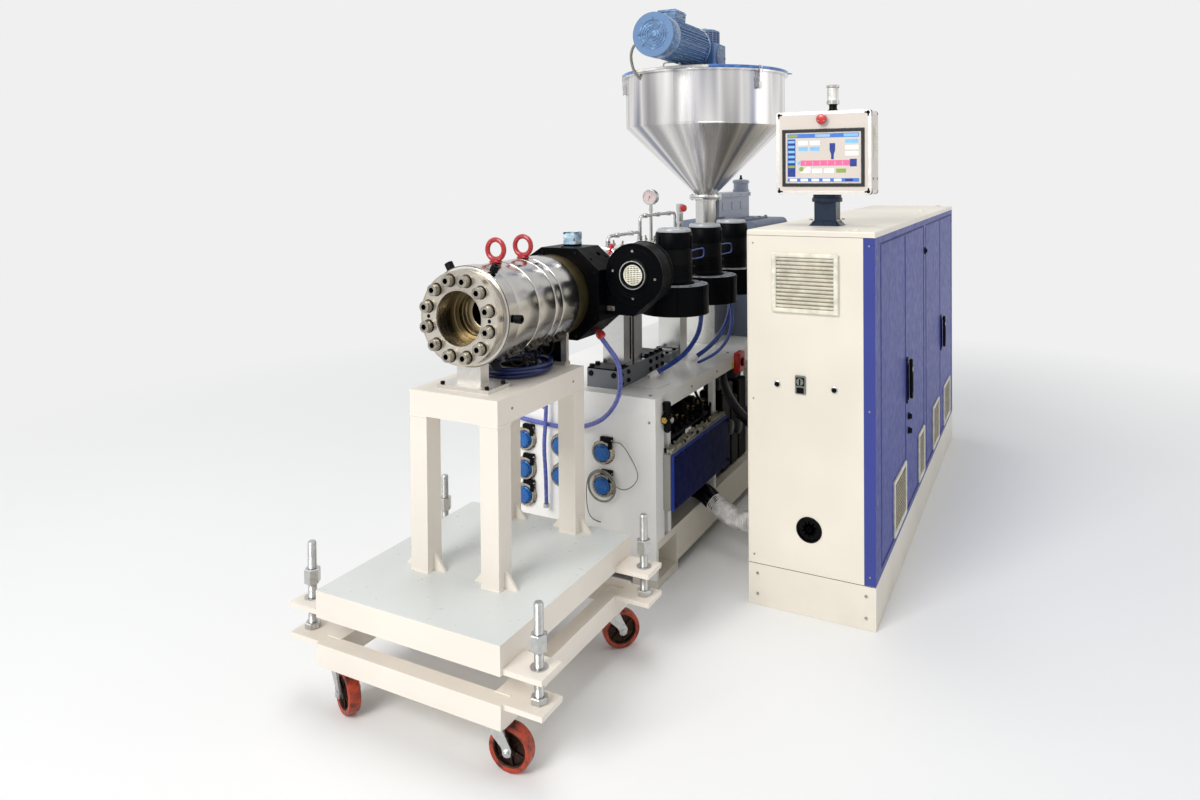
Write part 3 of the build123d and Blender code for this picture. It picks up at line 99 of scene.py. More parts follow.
axisMiddle = (drawing["axisX"] * 0.001, drawing["axisZ"] * 0.001)
hopperMiddle = (drawing["axisX"] * 0.001, (drawing["faceY"] + 2030) * 0.001)


class FinishMaker:
    def __init__(self, name):
        self.finish = bpy.data.materials.new(name)
        self.finish.use_nodes = True
        self.tree = self.finish.node_tree
        self.shader = self.tree.nodes["Principled BSDF"]
        self.place = self.node("ShaderNodeTexCoord").outputs["Object"]

    def node(self, kind, **settings):
        made = self.tree.nodes.new(kind)
        for key, value in settings.items():
            setattr(made, key, value)
        return made

    def join(self, source, target):
        self.tree.links.new(source, target)

    # Distance round and along an axis of the machine, for turned and rolled sheet
    def wrapped(self, axis, middle, alongScale=1.0, roundScale=1.0):
        parts = self.node("ShaderNodeSeparateXYZ")
        self.join(self.place, parts.inputs[0])
        first, second, third = {"Y": ("X", "Z", "Y"), "Z": ("X", "Y", "Z")}[axis]
        across = [self.maths("SUBTRACT", parts.outputs[letter], value) for letter,
                  value in zip((first, second), middle)]
        joined = self.node("ShaderNodeCombineXYZ")
        self.join(self.maths("MULTIPLY", self.maths("ARCTAN2", *across), roundScale), joined.inputs[0])
        self.join(self.maths("MULTIPLY", parts.outputs[third], alongScale), joined.inputs[1])
        return joined.outputs[0]

    def maths(self, operation, first, second):
        made = self.node("ShaderNodeMath", operation=operation)
        self.join(first, made.inputs[0])
        if isinstance(second, (int, float)):
            made.inputs[1].default_value = second
        else:
            self.join(second, made.inputs[1])
        return made.outputs[0]

    def grain(self, scale, detail=3.0, vector=None, roughness=0.55):
        texture = self.node("ShaderNodeTexNoise")
        texture.inputs["Scale"].default_value = scale
        texture.inputs["Detail"].default_value = detail
        texture.inputs["Roughness"].default_value = roughness
        self.join(vector or self.place, texture.inputs["Vector"])
        return texture.outputs["Fac"]

    def colourFrom(self, factor, stops):
        ramp = self.node("ShaderNodeValToRGB")
        marks = ramp.color_ramp.elements
        while len(marks) < len(stops):
            marks.new(0.5)
        for mark, (position, colour) in zip(marks, stops):
            mark.position = position
            mark.color = tone(*colour)
        self.join(factor, ramp.inputs["Fac"])
        self.join(ramp.outputs["Color"], self.shader.inputs["Base Color"])
        return ramp.outputs["Color"]

    def blended(self, factor, first, second):
        mix = self.node("ShaderNodeMix", data_type="RGBA")
        self.join(factor, mix.inputs[0])
        for socket, colour in ((mix.inputs[6], first), (mix.inputs[7], second)):
            if isinstance(colour, tuple):
                socket.default_value = tone(*colour)
            else:
                self.join(colour, socket)
        self.join(mix.outputs[2], self.shader.inputs["Base Color"])
        return mix.outputs[2]

    def ranged(self, factor, low, high, target=None, fromLow=0.3, fromHigh=0.7):
        spread = self.node("ShaderNodeMapRange")
        self.join(factor, spread.inputs["Value"])
        spread.inputs["From Min"].default_value = fromLow
        spread.inputs["From Max"].default_value = fromHigh
        spread.inputs["To Min"].default_value = low
        spread.inputs["To Max"].default_value = high
        if target:
            self.join(spread.outputs["Result"], self.shader.inputs[target])
        return spread.outputs["Result"]

    def bump(self, height, strength, distance):
        relief = self.node("ShaderNodeBump")
        relief.inputs["Strength"].default_value = strength
        relief.inputs["Distance"].default_value = distance
        self.join(height, relief.inputs["Height"])
        self.join(relief.outputs["Normal"], self.shader.inputs["Normal"])

    def level(self, **values):
        for name, value in values.items():
            self.shader.inputs[name.replace("_", " ")].default_value = value


def enamel(name, colour, roughness=0.38, shift=0.03, peel=0.03, coat=0.0, low=None, shine=0.5):
    maker = FinishMaker(name)
    tint = maker.colourFrom(maker.grain(2.2, 2),
                            [(0.3, shaded(colour, 1 - shift)), (0.7, shaded(colour, 1 + shift * 0.6))])
    if low:  # darker towards the floor, in noisy patches
        parts = maker.node("ShaderNodeSeparateXYZ")
        maker.join(maker.place, parts.inputs[0])
        height = maker.ranged(parts.outputs["Z"], 1, 0, fromLow=0.0, fromHigh=low[1])
        maker.blended(maker.maths("MULTIPLY", height, maker.ranged(maker.grain(5, 3), 0.1, 0.5)), tint, low[0])
    maker.ranged(maker.grain(30, 4), roughness - 0.06, roughness + 0.09, "Roughness")
    maker.bump(maker.grain(80, 1), peel, 0.0004)
    maker.level(Coat_Weight=coat, Coat_Roughness=0.12, Specular_IOR_Level=shine)
    return maker.finish


def turnedMetal(name, colour, roughness=0.3, streak=0.1, wear=0.06):
    maker = FinishMaker(name)
    lines = maker.wrapped("Y", axisMiddle, alongScale=900, roundScale=3)
    fine = maker.grain(1, 3, lines)
    maker.colourFrom(maker.grain(7, 4),
                     [(0.3, shaded(colour, 1 - streak)), (0.7, shaded(colour, 1 + streak * 0.5))])
    maker.ranged(fine, roughness - wear, roughness + wear, "Roughness")
    maker.bump(fine, 0.12, 0.0004)
    maker.level(Metallic=1.0)
    return maker.finish


def rolledSheet(name, stops, middle, roughness=0.22, bands=2.4):
    maker = FinishMaker(name)
    # dark and bright bands in the colour round the hopper's axis: painted reflections
    paintedReflectionBands = maker.grain(1, 2, maker.wrapped("Z", middle, alongScale=0.35, roundScale=bands))
    brush = maker.grain(1, 3, maker.wrapped("Z", middle, alongScale=1.5, roundScale=260))
    maker.colourFrom(paintedReflectionBands, stops)
    maker.ranged(brush, roughness - 0.05, roughness + 0.1, "Roughness")
    maker.bump(brush, 0.05, 0.0004)
    maker.level(Metallic=1.0)
    return maker.finish


def platedMetal(name, colour, roughness=0.3, patch=0.12, spread=1.0):
    maker = FinishMaker(name)
    maker.colourFrom(maker.grain(55, 5),
                     [(0.28, shaded(colour, 1 - patch)), (0.72, shaded(colour, 1 + patch * 0.4))])
    maker.ranged(maker.grain(140, 3), roughness - 0.08 * spread, roughness + 0.12 * spread, "Roughness")
    maker.bump(maker.grain(300, 1), 0.05 * spread, 0.0003)
    maker.level(Metallic=1.0)
    return maker.finish


def moulded(name, colour, roughness=0.45, shift=0.08, coat=0.0, grainSize=300, glow=0.0, clear=0.0, shine=0.5):
    maker = FinishMaker(name)
    maker.colourFrom(maker.grain(28, 3),
                     [(0.3, shaded(colour, 1 - shift)), (0.7, shaded(colour, 1 + shift))])
    maker.ranged(maker.grain(90, 3), roughness - 0.06, roughness + 0.08, "Roughness")
    maker.bump(maker.grain(grainSize, 2), 0.08, 0.0004)
    maker.level(Coat_Weight=coat, Coat_Roughness=0.08, Transmission_Weight=clear, Specular_IOR_Level=shine)
    if glow:
        maker.level(Emission_Color=tone(*colour), Emission_Strength=glow)
    return maker.finish


def wornTread(name, colour, dark):
    maker = FinishMaker(name)
    maker.colourFrom(maker.grain(38, 6, roughness=0.7),
                     [(0.36, dark), (0.5, colour), (0.72, shaded(colour, 1.25))])
    maker.ranged(maker.grain(60, 3), 0.3, 0.55, "Roughness")
    maker.bump(maker.grain(260, 4), 0.25, 0.0008)
    return maker.finish


def wrappedFilm(name, colour, pale):
    maker = FinishMaker(name)
    mapping = maker.node("ShaderNodeMapping")
    mapping.inputs["Scale"].default_value = (1, 1, 2.2)
    maker.join(maker.place, mapping.inputs["Vector"])
    creaseReliefAndShade = maker.grain(24, 5, mapping.outputs["Vector"], roughness=0.65)
    # the colour follows the crease height: darker in the hollows and paler on the ridges, painted shade and
    # sheen
    maker.colourFrom(creaseReliefAndShade, [(0.34, shaded(colour, 0.8)), (0.5, colour), (0.66, pale)])
    maker.ranged(creaseReliefAndShade, 0.16, 0.4, "Roughness")
    maker.bump(creaseReliefAndShade, 0.5, 0.004)
    maker.level(Coat_Weight=0.35, Coat_Roughness=0.1)
    return maker.finish


finishes = {}
recipes = {  # colour, roughness, and what else differs
    enamel: {
        "cream": ((235, 228, 214), {"low": ((206, 201, 190), 0.3)}),
        "faceBeige": ((222, 212, 203), 0.34),
        "trolleyCream": ((236, 228, 217), {"low": ((206, 200, 190), 0.2)}),
        "tableTop": ((214, 217, 215), 0.32),
        "deck": ((247, 246, 243), 0.34),
        "royalBlue": ((62, 72, 146), 0.42, {"shine": 0.2}),
        "navy": ((3, 16, 74), 0.45, {"shine": 0.06}),
        "panelEdge": ((30, 54, 140), 0.4, {"shine": 0.3}),
        "black": ((3, 4, 7), 0.36, {"shift": 0.1, "shine": 0.05}),
        "clampGrey": ((112, 116, 122), 0.4),
        "darkGrey": ((52, 55, 60), 0.42),
        "postDark": ((24, 40, 62), 0.3, {"shine": 0.3}),
        "feederGrey": ((166, 174, 192), 0.34),
        "castGrey": ((110, 120, 142), 0.5, {"peel": 0.1, "shine": 0.3}),
        "gearLavender": ((126, 138, 166), 0.42, {"shine": 0.3}),
        "panelGrey": ((152, 150, 142), 0.4),
        "motorBlue": ((92, 128, 172), 0.42, {"shift": 0.06, "peel": 0.08}),
        "fanGrey": ((176, 180, 184), 0.24, {"coat": 0.2}),
        "eyeRed": ((178, 22, 30), 0.24, {"coat": 0.5}),
    }, moulded: {
        "signalRed": ((196, 34, 38), 0.3, {"coat": 0.4}),
        "signalYellow": ((214, 206, 60), 0.4),
        "blackPlastic": ((5, 5, 7), {"shine": 0.1}),
        "greyPlastic": ((120, 126, 118),),
        "connector": ((138, 134, 120), 0.5, {"shift": 0.3, "grainSize": 90}),
        "capBlue": ((6, 92, 166), 0.32, {"coat": 0.15}),
        "creamPlastic": ((228, 224, 208), 0.5),
        "hoseBlue": ((82, 92, 170), 0.26, {"shift": 0.1, "coat": 0.5}),
        "cableBlue": ((34, 66, 158), 0.3, {"shift": 0.14, "coat": 0.4}),
        "cableNavy": ((8, 28, 84), 0.34, {"shift": 0.25, "coat": 0.1}),
        "cableBlack": ((7, 7, 9), 0.4, {"shine": 0.15}),
        "cableGrey": ((128, 126, 116), 0.4, {"shift": 0.15}),
        "conduitGrey": ((206, 204, 202), 0.34, {"shift": 0.16, "coat": 0.3}),
        # matte black without shine, laid in holes, recesses and gaps as their painted shade
        "darkInside": ((2, 2, 3), 0.7, {"shine": 0.0}),
        "filterMat": ((168, 156, 134), 0.7, {"grainSize": 120}),
        "dial": ((210, 196, 194), 0.35, {"coat": 0.4}),
        "lens": ((236, 232, 228), 0.2, {"coat": 0.6}),
        "screenGlass": ((14, 15, 18), 0.22, {"coat": 0.5, "grainSize": 900}),
        "screenPale": ((150, 178, 204), 0.3, {"shift": 0.03, "glow": 0.3}),
        "screenBlue": ((60, 110, 190), 0.3, {"shift": 0.03, "glow": 0.35}),
        "screenPink": ((214, 96, 138), 0.3, {"shift": 0.03, "glow": 0.4}),
        "screenNavy": ((24, 52, 128), 0.3, {"shift": 0.03, "glow": 0.3}),
        "screenSky": ((120, 176, 226), 0.3, {"shift": 0.03, "glow": 0.35}),
        "screenGreen": ((128, 152, 74), 0.3, {"shift": 0.03, "glow": 0.35}),
        "screenWhite": ((228, 236, 240), 0.3, {"shift": 0.02, "glow": 0.4}),
    },
    turnedMetal: {
        "dieSteel": ((206, 199, 188), 0.27),
        "boreSteel": ((142, 130, 104), 0.3),
        "bandSteel": ((198, 196, 193), 0.2, {"streak": 0.08}),
        "coverSteel": ((232, 232, 232), 0.2, {"streak": 0.05}),
        "brass": ((158, 142, 98), 0.36, {"streak": 0.16}),
    },
    platedMetal: {
        "lugSteel": ((112, 108, 102), 0.4, {"patch": 0.3}),
        "fittingBrass": ((212, 176, 96), 0.3),
        "screwSteel": ((176, 170, 158), 0.28, {"patch": 0.2}),
        "zinc": ((196, 197, 196), 0.3, {"patch": 0.08, "spread": 0.5}),
        "stainless": ((206, 206, 204), 0.24, {"patch": 0.02, "spread": 0.15}),
        "blackSteel": ((30, 30, 32), 0.42),
        "hubIron": ((64, 48, 42), 0.5, {"patch": 0.4}),
        "frameSilver": ((222, 219, 214), 0.36, {"patch": 0.04}),
    },
    rolledSheet: {
        # dark, bright and bluish bands of the hopper steel: painted reflections
        "hopperSteel": ([(0.3, (112, 110, 112)), (0.44, (196, 194, 194)), (0.55, (234, 232, 230)),
            (0.68, (150, 152, 166))], hopperMiddle),
    }, wornTread: {
        "tread": ((158, 54, 26), (60, 22, 14)),
    },
    wrappedFilm: {
        "motorFilm": ((74, 112, 160), (140, 184, 216)),
        "boxFilm": ((168, 204, 228), (230, 240, 244)),
        "lidFilm": ((56, 108, 186), (92, 146, 212)),
    },
}
for makeFinish, table in recipes.items():
    for name, (colour, *rest) in table.items():
        settings = rest.pop() if rest and isinstance(rest[-1], dict) else {}
        finishes[name] = makeFinish(name, colour, *rest, **settings)
print("stage: finishes mixed,", len(finishes))

# Mesh helpers: shapes are drawn in millimetres and set in place by a matrix
still = Matrix.Identity(4)


def shift(x, y, z):
    return Matrix.Translation((x, y, z))


def spin(angle):  # a turn round a shape's own Z, in degrees
    return Matrix.Rotation(radians(angle), 4, "Z")


ground = Matrix.Translation(at(0, 0, 0)) @ Matrix.Scale(0.001, 4)
turns = {
    "up": still,
    "down": Matrix.Rotation(pi, 4, "X"),
    "front": Matrix.Rotation(pi / 2, 4, "X"),
    "back": Matrix(((-1, 0, 0), (0, 0, 1), (0, 1, 0))).to_4x4(),
    "right": Matrix(((0, 0, 1), (1, 0, 0), (0, 1, 0))).to_4x4(),
    "left": Matrix(((0, 0, -1), (-1, 0, 0), (0, 1, 0))).to_4x4(),
}


def facing(side, x=0, y=0, z=0):
    return ground @ shift(x, y, z) @ turns[side]


def radial(angle, y, reach=0, x=0, z=1150):  # local Z points outward, round an axis along Y
    a = radians(angle)
    out = Vector((cos(a), 0, sin(a)))
    turn = Matrix(((0, -out.z, out.x), (1, 0, 0), (0, out.x, out.z))).to_4x4()
    return ground @ Matrix.Translation(Vector((x, y, z)) + out * reach) @ turn


def spoke(angle, x, y, z, reach=0):  # local Z points outward, round an upright axis
    a = radians(angle)
    out = Vector((cos(a), sin(a), 0))
    turn = Matrix(((-out.y, 0, out.x), (out.x, 0, out.y), (0, 1, 0))).to_4x4()
    return ground @ Matrix.Translation(Vector((x, y, z)) + out * reach) @ turn


bench = bmesh.new()  # every piece is made here, and finishPiece takes it off


def addFaces(places, loops, where, finish):
    points = [bench.verts.new(where @ Vector(place)) for place in places]
    for loop in loops:
        face = bench.faces.new([points[index] for index in loop])
        face.material_index = finish
        face.smooth = True


def block(low, high, edge=1.5, finish=0, where=ground):  # a box with bevelled edges
    low, high = Vector(low), Vector(high)
    middle, half = (low + high) / 2, Vector([abs(part) for part in (high - low) / 2])
    edge = min(edge, 0.9 * min(half))
    signs, places, index, loops = (-1, 1), [], {}, []
    for *corner, axis in product(signs, signs, signs, range(3)):
        index[(*corner, axis)] = len(places)
        reaches = [reach - (0 if other == axis else edge) for other, reach in enumerate(half)]
        places.append(middle + Vector([sign * reach for sign, reach in zip(corner, reaches)]))
    for axis in range(3):
        first, second = (axis + 1) % 3, (axis + 2) % 3

        def spot(side, a, b, kept):
            key = [0, 0, 0]
            key[axis], key[first], key[second] = side, a, b
            return index[(*key, kept)]
        for side in signs:
            loops.append([spot(side, a, b, axis) for a, b in ((-1, -1), (1, -1), (1, 1), (-1, 1))])
        for a, b in product(signs, signs):
            turns = ((-1, first), (1, first), (1, second), (-1, second))
            loops.append([spot(side, a, b, kept) for side, kept in turns])
    loops += [[index[(*corner, axis)] for axis in range(3)] for corner in product(signs, signs, signs)]
    addFaces(places, loops, where, finish)


def ringRadius(value, angle):
    if isinstance(value, tuple):  # (flats, apothem): a polygon's side instead of a circle
        flats, apothem = value
        step = 2 * pi / flats
        return apothem / cos((angle % step) - step / 2)
    return value


def lathe(profile, where, steps=48, finish=0, closed=False, start=0, sweep=360):
    whole = sweep == 360
    count = steps if whole else steps + 1
    places, rings = [], []
    for radius, height in profile:
        if radius == 0:
            rings.append([len(places)])
            places.append((0, 0, height))
            continue
        ring = []
        for step in range(count):
            angle = radians(start + sweep * step / steps)
            reach = ringRadius(radius, angle)
            ring.append(len(places))
            places.append((reach * cos(angle), reach * sin(angle), height))
        rings.append(ring)
    loops = []
    pairs = list(zip(rings, rings[1:])) + ([(rings[-1], rings[0])] if closed else [])
    for lower, upper in pairs:
        for step in range(steps):
            follow = (step + 1) % count
            if len(lower) == 1 and len(upper) == 1:
                continue
            if len(lower) == 1:
                loops.append([lower[0], upper[follow], upper[step]])
            elif len(upper) == 1:
                loops.append([lower[step], lower[follow], upper[0]])
            else:
                loops.append([lower[step], lower[follow], upper[follow], upper[step]])
    if closed and not whole:
        loops.append([ring[0] for ring in rings])
        loops.append([ring[-1] for ring in reversed(rings)])
    addFaces(places, loops, where, finish)


def insetOutline(outline, amount):
    made, count = [], len(outline)
    area = sum(a[0] * b[1] - b[0] * a[1] for a, b in zip(outline, outline[1:] + outline[:1]))
    sign = 1 if area > 0 else -1
    for index, point in enumerate(outline):
        before, after = Vector(outline[index - 1]), Vector(outline[(index + 1) % count])
        here = Vector(point)
        first, second = (here - before).normalized(), (after - here).normalized()
        left = Vector((-first.y, first.x)) * sign
        right = Vector((-second.y, second.x)) * sign
        total = left + right
        made.append(tuple(here + total * (amount / max(0.2, 1 + left.dot(right)))))
    return made


def plate(outline, depth, where, edge=1.0, finish=0, back=True):
    outline = [tuple(point) for point in outline]
    small = insetOutline(outline, edge)
    levels = [(small, 0), (outline, edge), (outline, depth - edge), (small, depth)] if edge else [(outline,
            0), (outline, depth)]
    count = len(outline)
    places = [(x, y, z) for ring, z in levels for x, y in ring]
    loops = [list(range((len(levels) - 1) * count, len(levels) * count))]
    if back:
        loops.append(list(reversed(range(count))))
    for row in range(len(levels) - 1):
        for step in range(count):
            follow = (step + 1) % count
            loops.append([row * count + step, row * count + follow, (row + 1) * count + follow,
                          (row + 1) * count + step])
    addFaces(places, loops, where, finish)


def addRim(outline, width, depth, where):  # a flat frame that follows an outline
    small, count = insetOutline(outline, width), len(outline)
    places = [(x, y, z) for z in (0, depth) for ring in (outline, small) for x, y in ring]
    loops = []
    for step in range(count):
        follow = (step + 1) % count
        for a, b in ((0, 2), (2, 3), (3, 1)):
            loops.append([a * count + step, a * count + follow, b * count + follow, b * count + step])
    addFaces(places, loops, where, 0)


def roundedOutline(width, height, radius, steps=5, middle=(0, 0)):
    points = []
    for cx, cy, start in ((1, 1, 0), (-1, 1, 90), (-1, -1, 180), (1, -1, 270)):
        for step in range(steps + 1):
            angle = radians(start + 90 * step / steps)
            points.append((middle[0] + cx * (width / 2 - radius) + radius * cos(angle),
                           middle[1] + cy * (height / 2 - radius) + radius * sin(angle)))
    return points


def polygonOutline(flats, acrossFlats, turn=0):
    reach = acrossFlats / 2 / cos(pi / flats)
    return [(reach * cos(radians(turn) + 2 * pi * step / flats),
             reach * sin(radians(turn) + 2 * pi * step / flats)) for step in range(flats)]


def tube(points, radius, where=ground, sides=12, finish=0, closed=False):
    points = [Vector(point) for point in points]
    radii = radius if isinstance(radius, (list, tuple)) else [radius] * len(points)
    places, loops, side = [], [], None
    count = len(points)
    for index, point in enumerate(points):
        if closed:
            tangent = (points[(index + 1) % count] - points[index - 1]).normalized()
        else:
            tangent = (points[min(index + 1, count - 1)] - points[max(index - 1, 0)]).normalized()
        if side is None:
            side = tangent.orthogonal().normalized()
        side = (side - tangent * side.dot(tangent)).normalized()
        other = tangent.cross(side)
        for step in range(sides):
            angle = 2 * pi * step / sides
            places.append(point + (side * cos(angle) + other * sin(angle)) * radii[index])
    for row in range(count if closed else count - 1):
        upper = (row + 1) % count
        for step in range(sides):
            follow = (step + 1) % sides
            loops.append([row * sides + step, row * sides + follow, upper * sides + follow,
                          upper * sides + step])
    if not closed:
        loops.append(list(reversed(range(sides))))
        loops.append([(count - 1) * sides + step for step in range(sides)])
    addFaces(places, loops, where, finish)


def bentPath(points, radius, steps=6):  # a rigid pipe's line with round bends
    points = [Vector(point) for point in points]
    path = [points[0]]
    for before, corner, after in zip(points, points[1:], points[2:]):
        back, ahead = (before - corner).normalized(), (after - corner).normalized()
        half = back.angle(ahead) / 2
        run = min(radius / tan(half), 0.48 * min((before - corner).length, (after - corner).length))
        start, end = corner + back * run, corner + ahead * run
        for step in range(steps + 1):
            share = step / steps
            path.append(start.lerp(corner, share).lerp(corner.lerp(end, share), share))
    path.append(points[-1])
    return path


def screw(where, radius, height, finish=0, dark=None, steps=24):  # socket head screw
    recess = radius * 0.48
    bottom = height * 0.45
    lathe([(radius, 0), (radius, height - radius * 0.1), (radius * 0.9, height), ((6, recess), height)],
          where, steps, finish)
    # a dark finish given for the socket paints the shade in it
    lathe([((6, recess), height), ((6, recess), bottom), (0, bottom)], where, steps,
          finish if dark is None else dark)


def addRows(add, side, xs, ys, zs, *sizes, **more):  # like screws at all given places of a side
    spread = [value if hasattr(value, "__iter__") else (value,) for value in (xs, ys, zs)]
    for x, y, z in product(*spread):
        add(facing(side, x, y, z), *sizes, **more)


def bolt(where, flats, height, finish=0, turn=0):  # hexagon head on its washer
    lathe([(flats * 0.62, 0), (flats * 0.62, 1.4), (flats * 0.58, 1.8), (0, 1.8)], where, 20, finish)
    plate(polygonOutline(6, flats, turn), height, where, min(1.2, height * 0.2), finish, False)


def finishPiece(name, finishNames, replaced=(), body="machine", sharp=32):
    bmesh.ops.recalc_face_normals(bench, faces=bench.faces)
    data = bpy.data.meshes.new(name)
    bench.to_mesh(data)
    bench.clear()
    for finishName in finishNames:
        data.materials.append(finishes[finishName])
    data.set_sharp_from_angle(angle=radians(sharp))
    piece = bpy.data.objects.new(name, data)
    bpy.context.scene.collection.objects.link(piece)
    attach(piece, body)
    if replaced:
        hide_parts(*([replaced] if isinstance(replaced, str) else replaced))
    return piece


# Cords, each on the points that the part's source gives it
cords = {
    "dieHose": {
        "replaces": "die_hose", "diameter": 18, "length": 901, "finish": "hoseBlue",
        "points": [(118, 650, 1009.37), (162.14, 650, 957.37), (190, 680, 902), (182, 716, 822),
                   (148, 758, 735), (72, 796, 648), (-24, 820, 595), (-140, 827, 577), (-255, 829, 580),
                   (-368, 829, 592)],
    },
    "riserHose": {
        "replaces": "riser_hose", "diameter": 16, "length": 429, "finish": "hoseBlue",
        "points": [(-206, 812, 690), (-206, 806, 600), (-215, 803, 495), (-208, 807, 380),
                   (-212, 815, 262)],
    },
}


def routeCurve(name, points, resolution):
    curve = bpy.data.curves.new(name, "CURVE")
    curve.dimensions = "3D"
    spline = curve.splines.new("NURBS")
    spline.points.add(len(points) - 1)
    for knot, place in zip(spline.points, points):
        knot.co = (*at(*place), 1)
    spline.order_u = 3
    spline.use_endpoint_u = True
    spline.resolution_u = resolution
    piece = bpy.data.objects.new(name, curve)
    bpy.context.scene.collection.objects.link(piece)
    return piece


def cordCurve(name, points, diameter, finishName, replaced=None):
    piece = routeCurve(name, points, 8)
    piece.data.bevel_depth = diameter * 0.0005
    piece.data.bevel_resolution = 4
    piece.data.use_fill_caps = True
    piece.data.materials.append(finishes[finishName])
    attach(piece, "machine")
    if replaced:
        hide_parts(replaced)
    return piece


def cordLine(points, fineness=8):  # the smooth line that the cord's own spline makes
    guide = routeCurve("cordGuide", points, fineness)
    line = bpy.data.meshes.new_from_object(guide.evaluated_get(bpy.context.evaluated_depsgraph_get()))
    places = [vertex.co.copy() for vertex in line.vertices]
    bpy.data.meshes.remove(line)
    bpy.data.objects.remove(guide)
    return places


def lineLength(places):
    return sum((after - before).length for before, after in zip(places, places[1:]))


def declareCord(piece, facts):
    length = facts.get("length")
    if length is None:
        length = lineLength(cordLine(facts["points"])) * 1000


for name, facts in cords.items():
    declareCord(cordCurve(name, facts["points"], facts["diameter"], facts["finish"], facts["replaces"]), facts)

# Cables that run as a bundle: strands laid round the cord's own line
bundles = {
    "nearFanCable": {
        "replaces": "near_fan_cable", "diameter": 22, "length": 390,
        "strands": 3, "strand": 10.5, "twist": 0.7,
        "points": [(272, 1286, 1050), (272, 1286, 965), (254, 1276, 880), (204, 1224, 806),
                   (128, 1152, 752)],
    },
    "farFanCable": {
        "replaces": "far_fan_cable", "diameter": 22, "length": 351,
        "strands": 3, "strand": 10.5, "twist": 0.6,
        "points": [(298, 1572, 1050), (298, 1572, 975), (276, 1572, 890), (228, 1550, 812),
                   (160, 1510, 756)],
    },
}


def strandPaths(places, count, offset, twist, start=0.4):
    paths = [[] for _ in range(count)]
    side = None
    total, run = lineLength(places), 0
    for index, place in enumerate(places):
        tangent = (places[min(index + 1, len(places) - 1)] - places[max(index - 1, 0)]).normalized()
        if index:
            run += (place - places[index - 1]).length
        side = tangent.orthogonal().normalized() if side is None else side
        side = (side - tangent * side.dot(tangent)).normalized()
        other = tangent.cross(side)
        for strand in range(count):
            angle = start + 2 * pi * (strand / count + twist * run / total)
            paths[strand].append(place + (side * cos(angle) + other * sin(angle)) * offset)
    return paths


for name, facts in bundles.items():
    places = cordLine(facts["points"])
    offset = (facts["diameter"] - facts["strand"]) * 0.0005
    for path in strandPaths(places, facts["strands"], offset, facts["twist"]):
        tube(path, facts["strand"] * 0.0005, still, sides=10)
    piece = finishPiece(name, ["cableBlue"], facts["replaces"])
    declareCord(piece, facts)

# The conduit to the cabinet: black cables that go into a ribbed plastic conduit
conduit = {
    "replaces": "power_conduit", "diameter": 84, "length": 528,
    "ribbedFrom": 0.44, "pitch": 9, "ribDepth": 4,
    "points": [(100, 1320, 240), (250, 1320, 236), (350, 1278, 178), (470, 1236, 150), (602, 1250, 175)],
}


def buildConduit():
    places = cordLine(conduit["points"], 24)
    total, run, marks = lineLength(places), 0, []
    for before, after in zip(places[:1] + places, places):
        run += (after - before).length
        marks.append(run)

    def pointAt(distance):
        for index in range(1, len(marks)):
            if marks[index] >= distance:
                share = (distance - marks[index - 1]) / max(1e-9, marks[index] - marks[index - 1])
                return places[index - 1].lerp(places[index], share)
        return places[-1]

    radius, depth = conduit["diameter"] * 0.0005, conduit["ribDepth"] * 0.001
    start, pitch = total * conduit["ribbedFrom"], conduit["pitch"] * 0.001
    path, radii, distance = [], [], start
    while distance < total:
        for share, drop in ((0, 1), (0.22, 0), (0.55, 0), (0.78, 1)):
            if distance + share * pitch < total:
                path.append(pointAt(distance + share * pitch))
                radii.append(radius - depth * drop)
        distance += pitch
    tube(path, radii, still, sides=28)
    thin = [pointAt(total * share / 24) for share in range(13)]
    for ring, count, offset in ((0, 1, 0), (1, 6, 0.0265)):
        for strandPath in strandPaths(thin, count, offset, 0.25, start=ring):
            tube(strandPath, 0.0145, still, sides=10, finish=1)
    piece = finishPiece("powerConduit", ["conduitGrey", "cableBlack"], conduit["replaces"])
    declareCord(piece, conduit)


buildConduit()

# The loose cable that lies in turns on the stand, between the die's post and its cradle
standCoil = {"diameter": 14, "perTurn": 14, "lanes": (6, 20, -14, 12, 2), "seed": 4}


def coilPoints():
    random.seed(standCoil["seed"])
    points = [(52, 447, 950), (57, 424, 949), (84, 376, 945)]
    for step in range(2, 54):
        turn = step / standCoil["perTurn"]
        angle = radians(66) - 2 * pi * turn
        before = standCoil["lanes"][int(turn) % 5]
        after = standCoil["lanes"][(int(turn) + 1) % 5]
        lane = before + (after - before) * (turn % 1)
        radius = 108 + lane + 4 * sin(2.3 * angle) + random.uniform(-1.5, 1.5)
        height = 936 + 7.5 * turn + 4 * sin(1.7 * angle + 1)
        points.append((radius * cos(angle), 298.7 + radius * sin(angle), height))
    points += [(-52, 408, 963), (-14, 436, 962), (-2, 447, 962)]
    return points


coilFacts = {"points": coilPoints(), "diameter": standCoil["diameter"]}
coilPiece = cordCurve("dieCableCoil", coilFacts["points"], standCoil["diameter"], "cableNavy", "cable_coil")
declareCord(coilPiece, coilFacts)

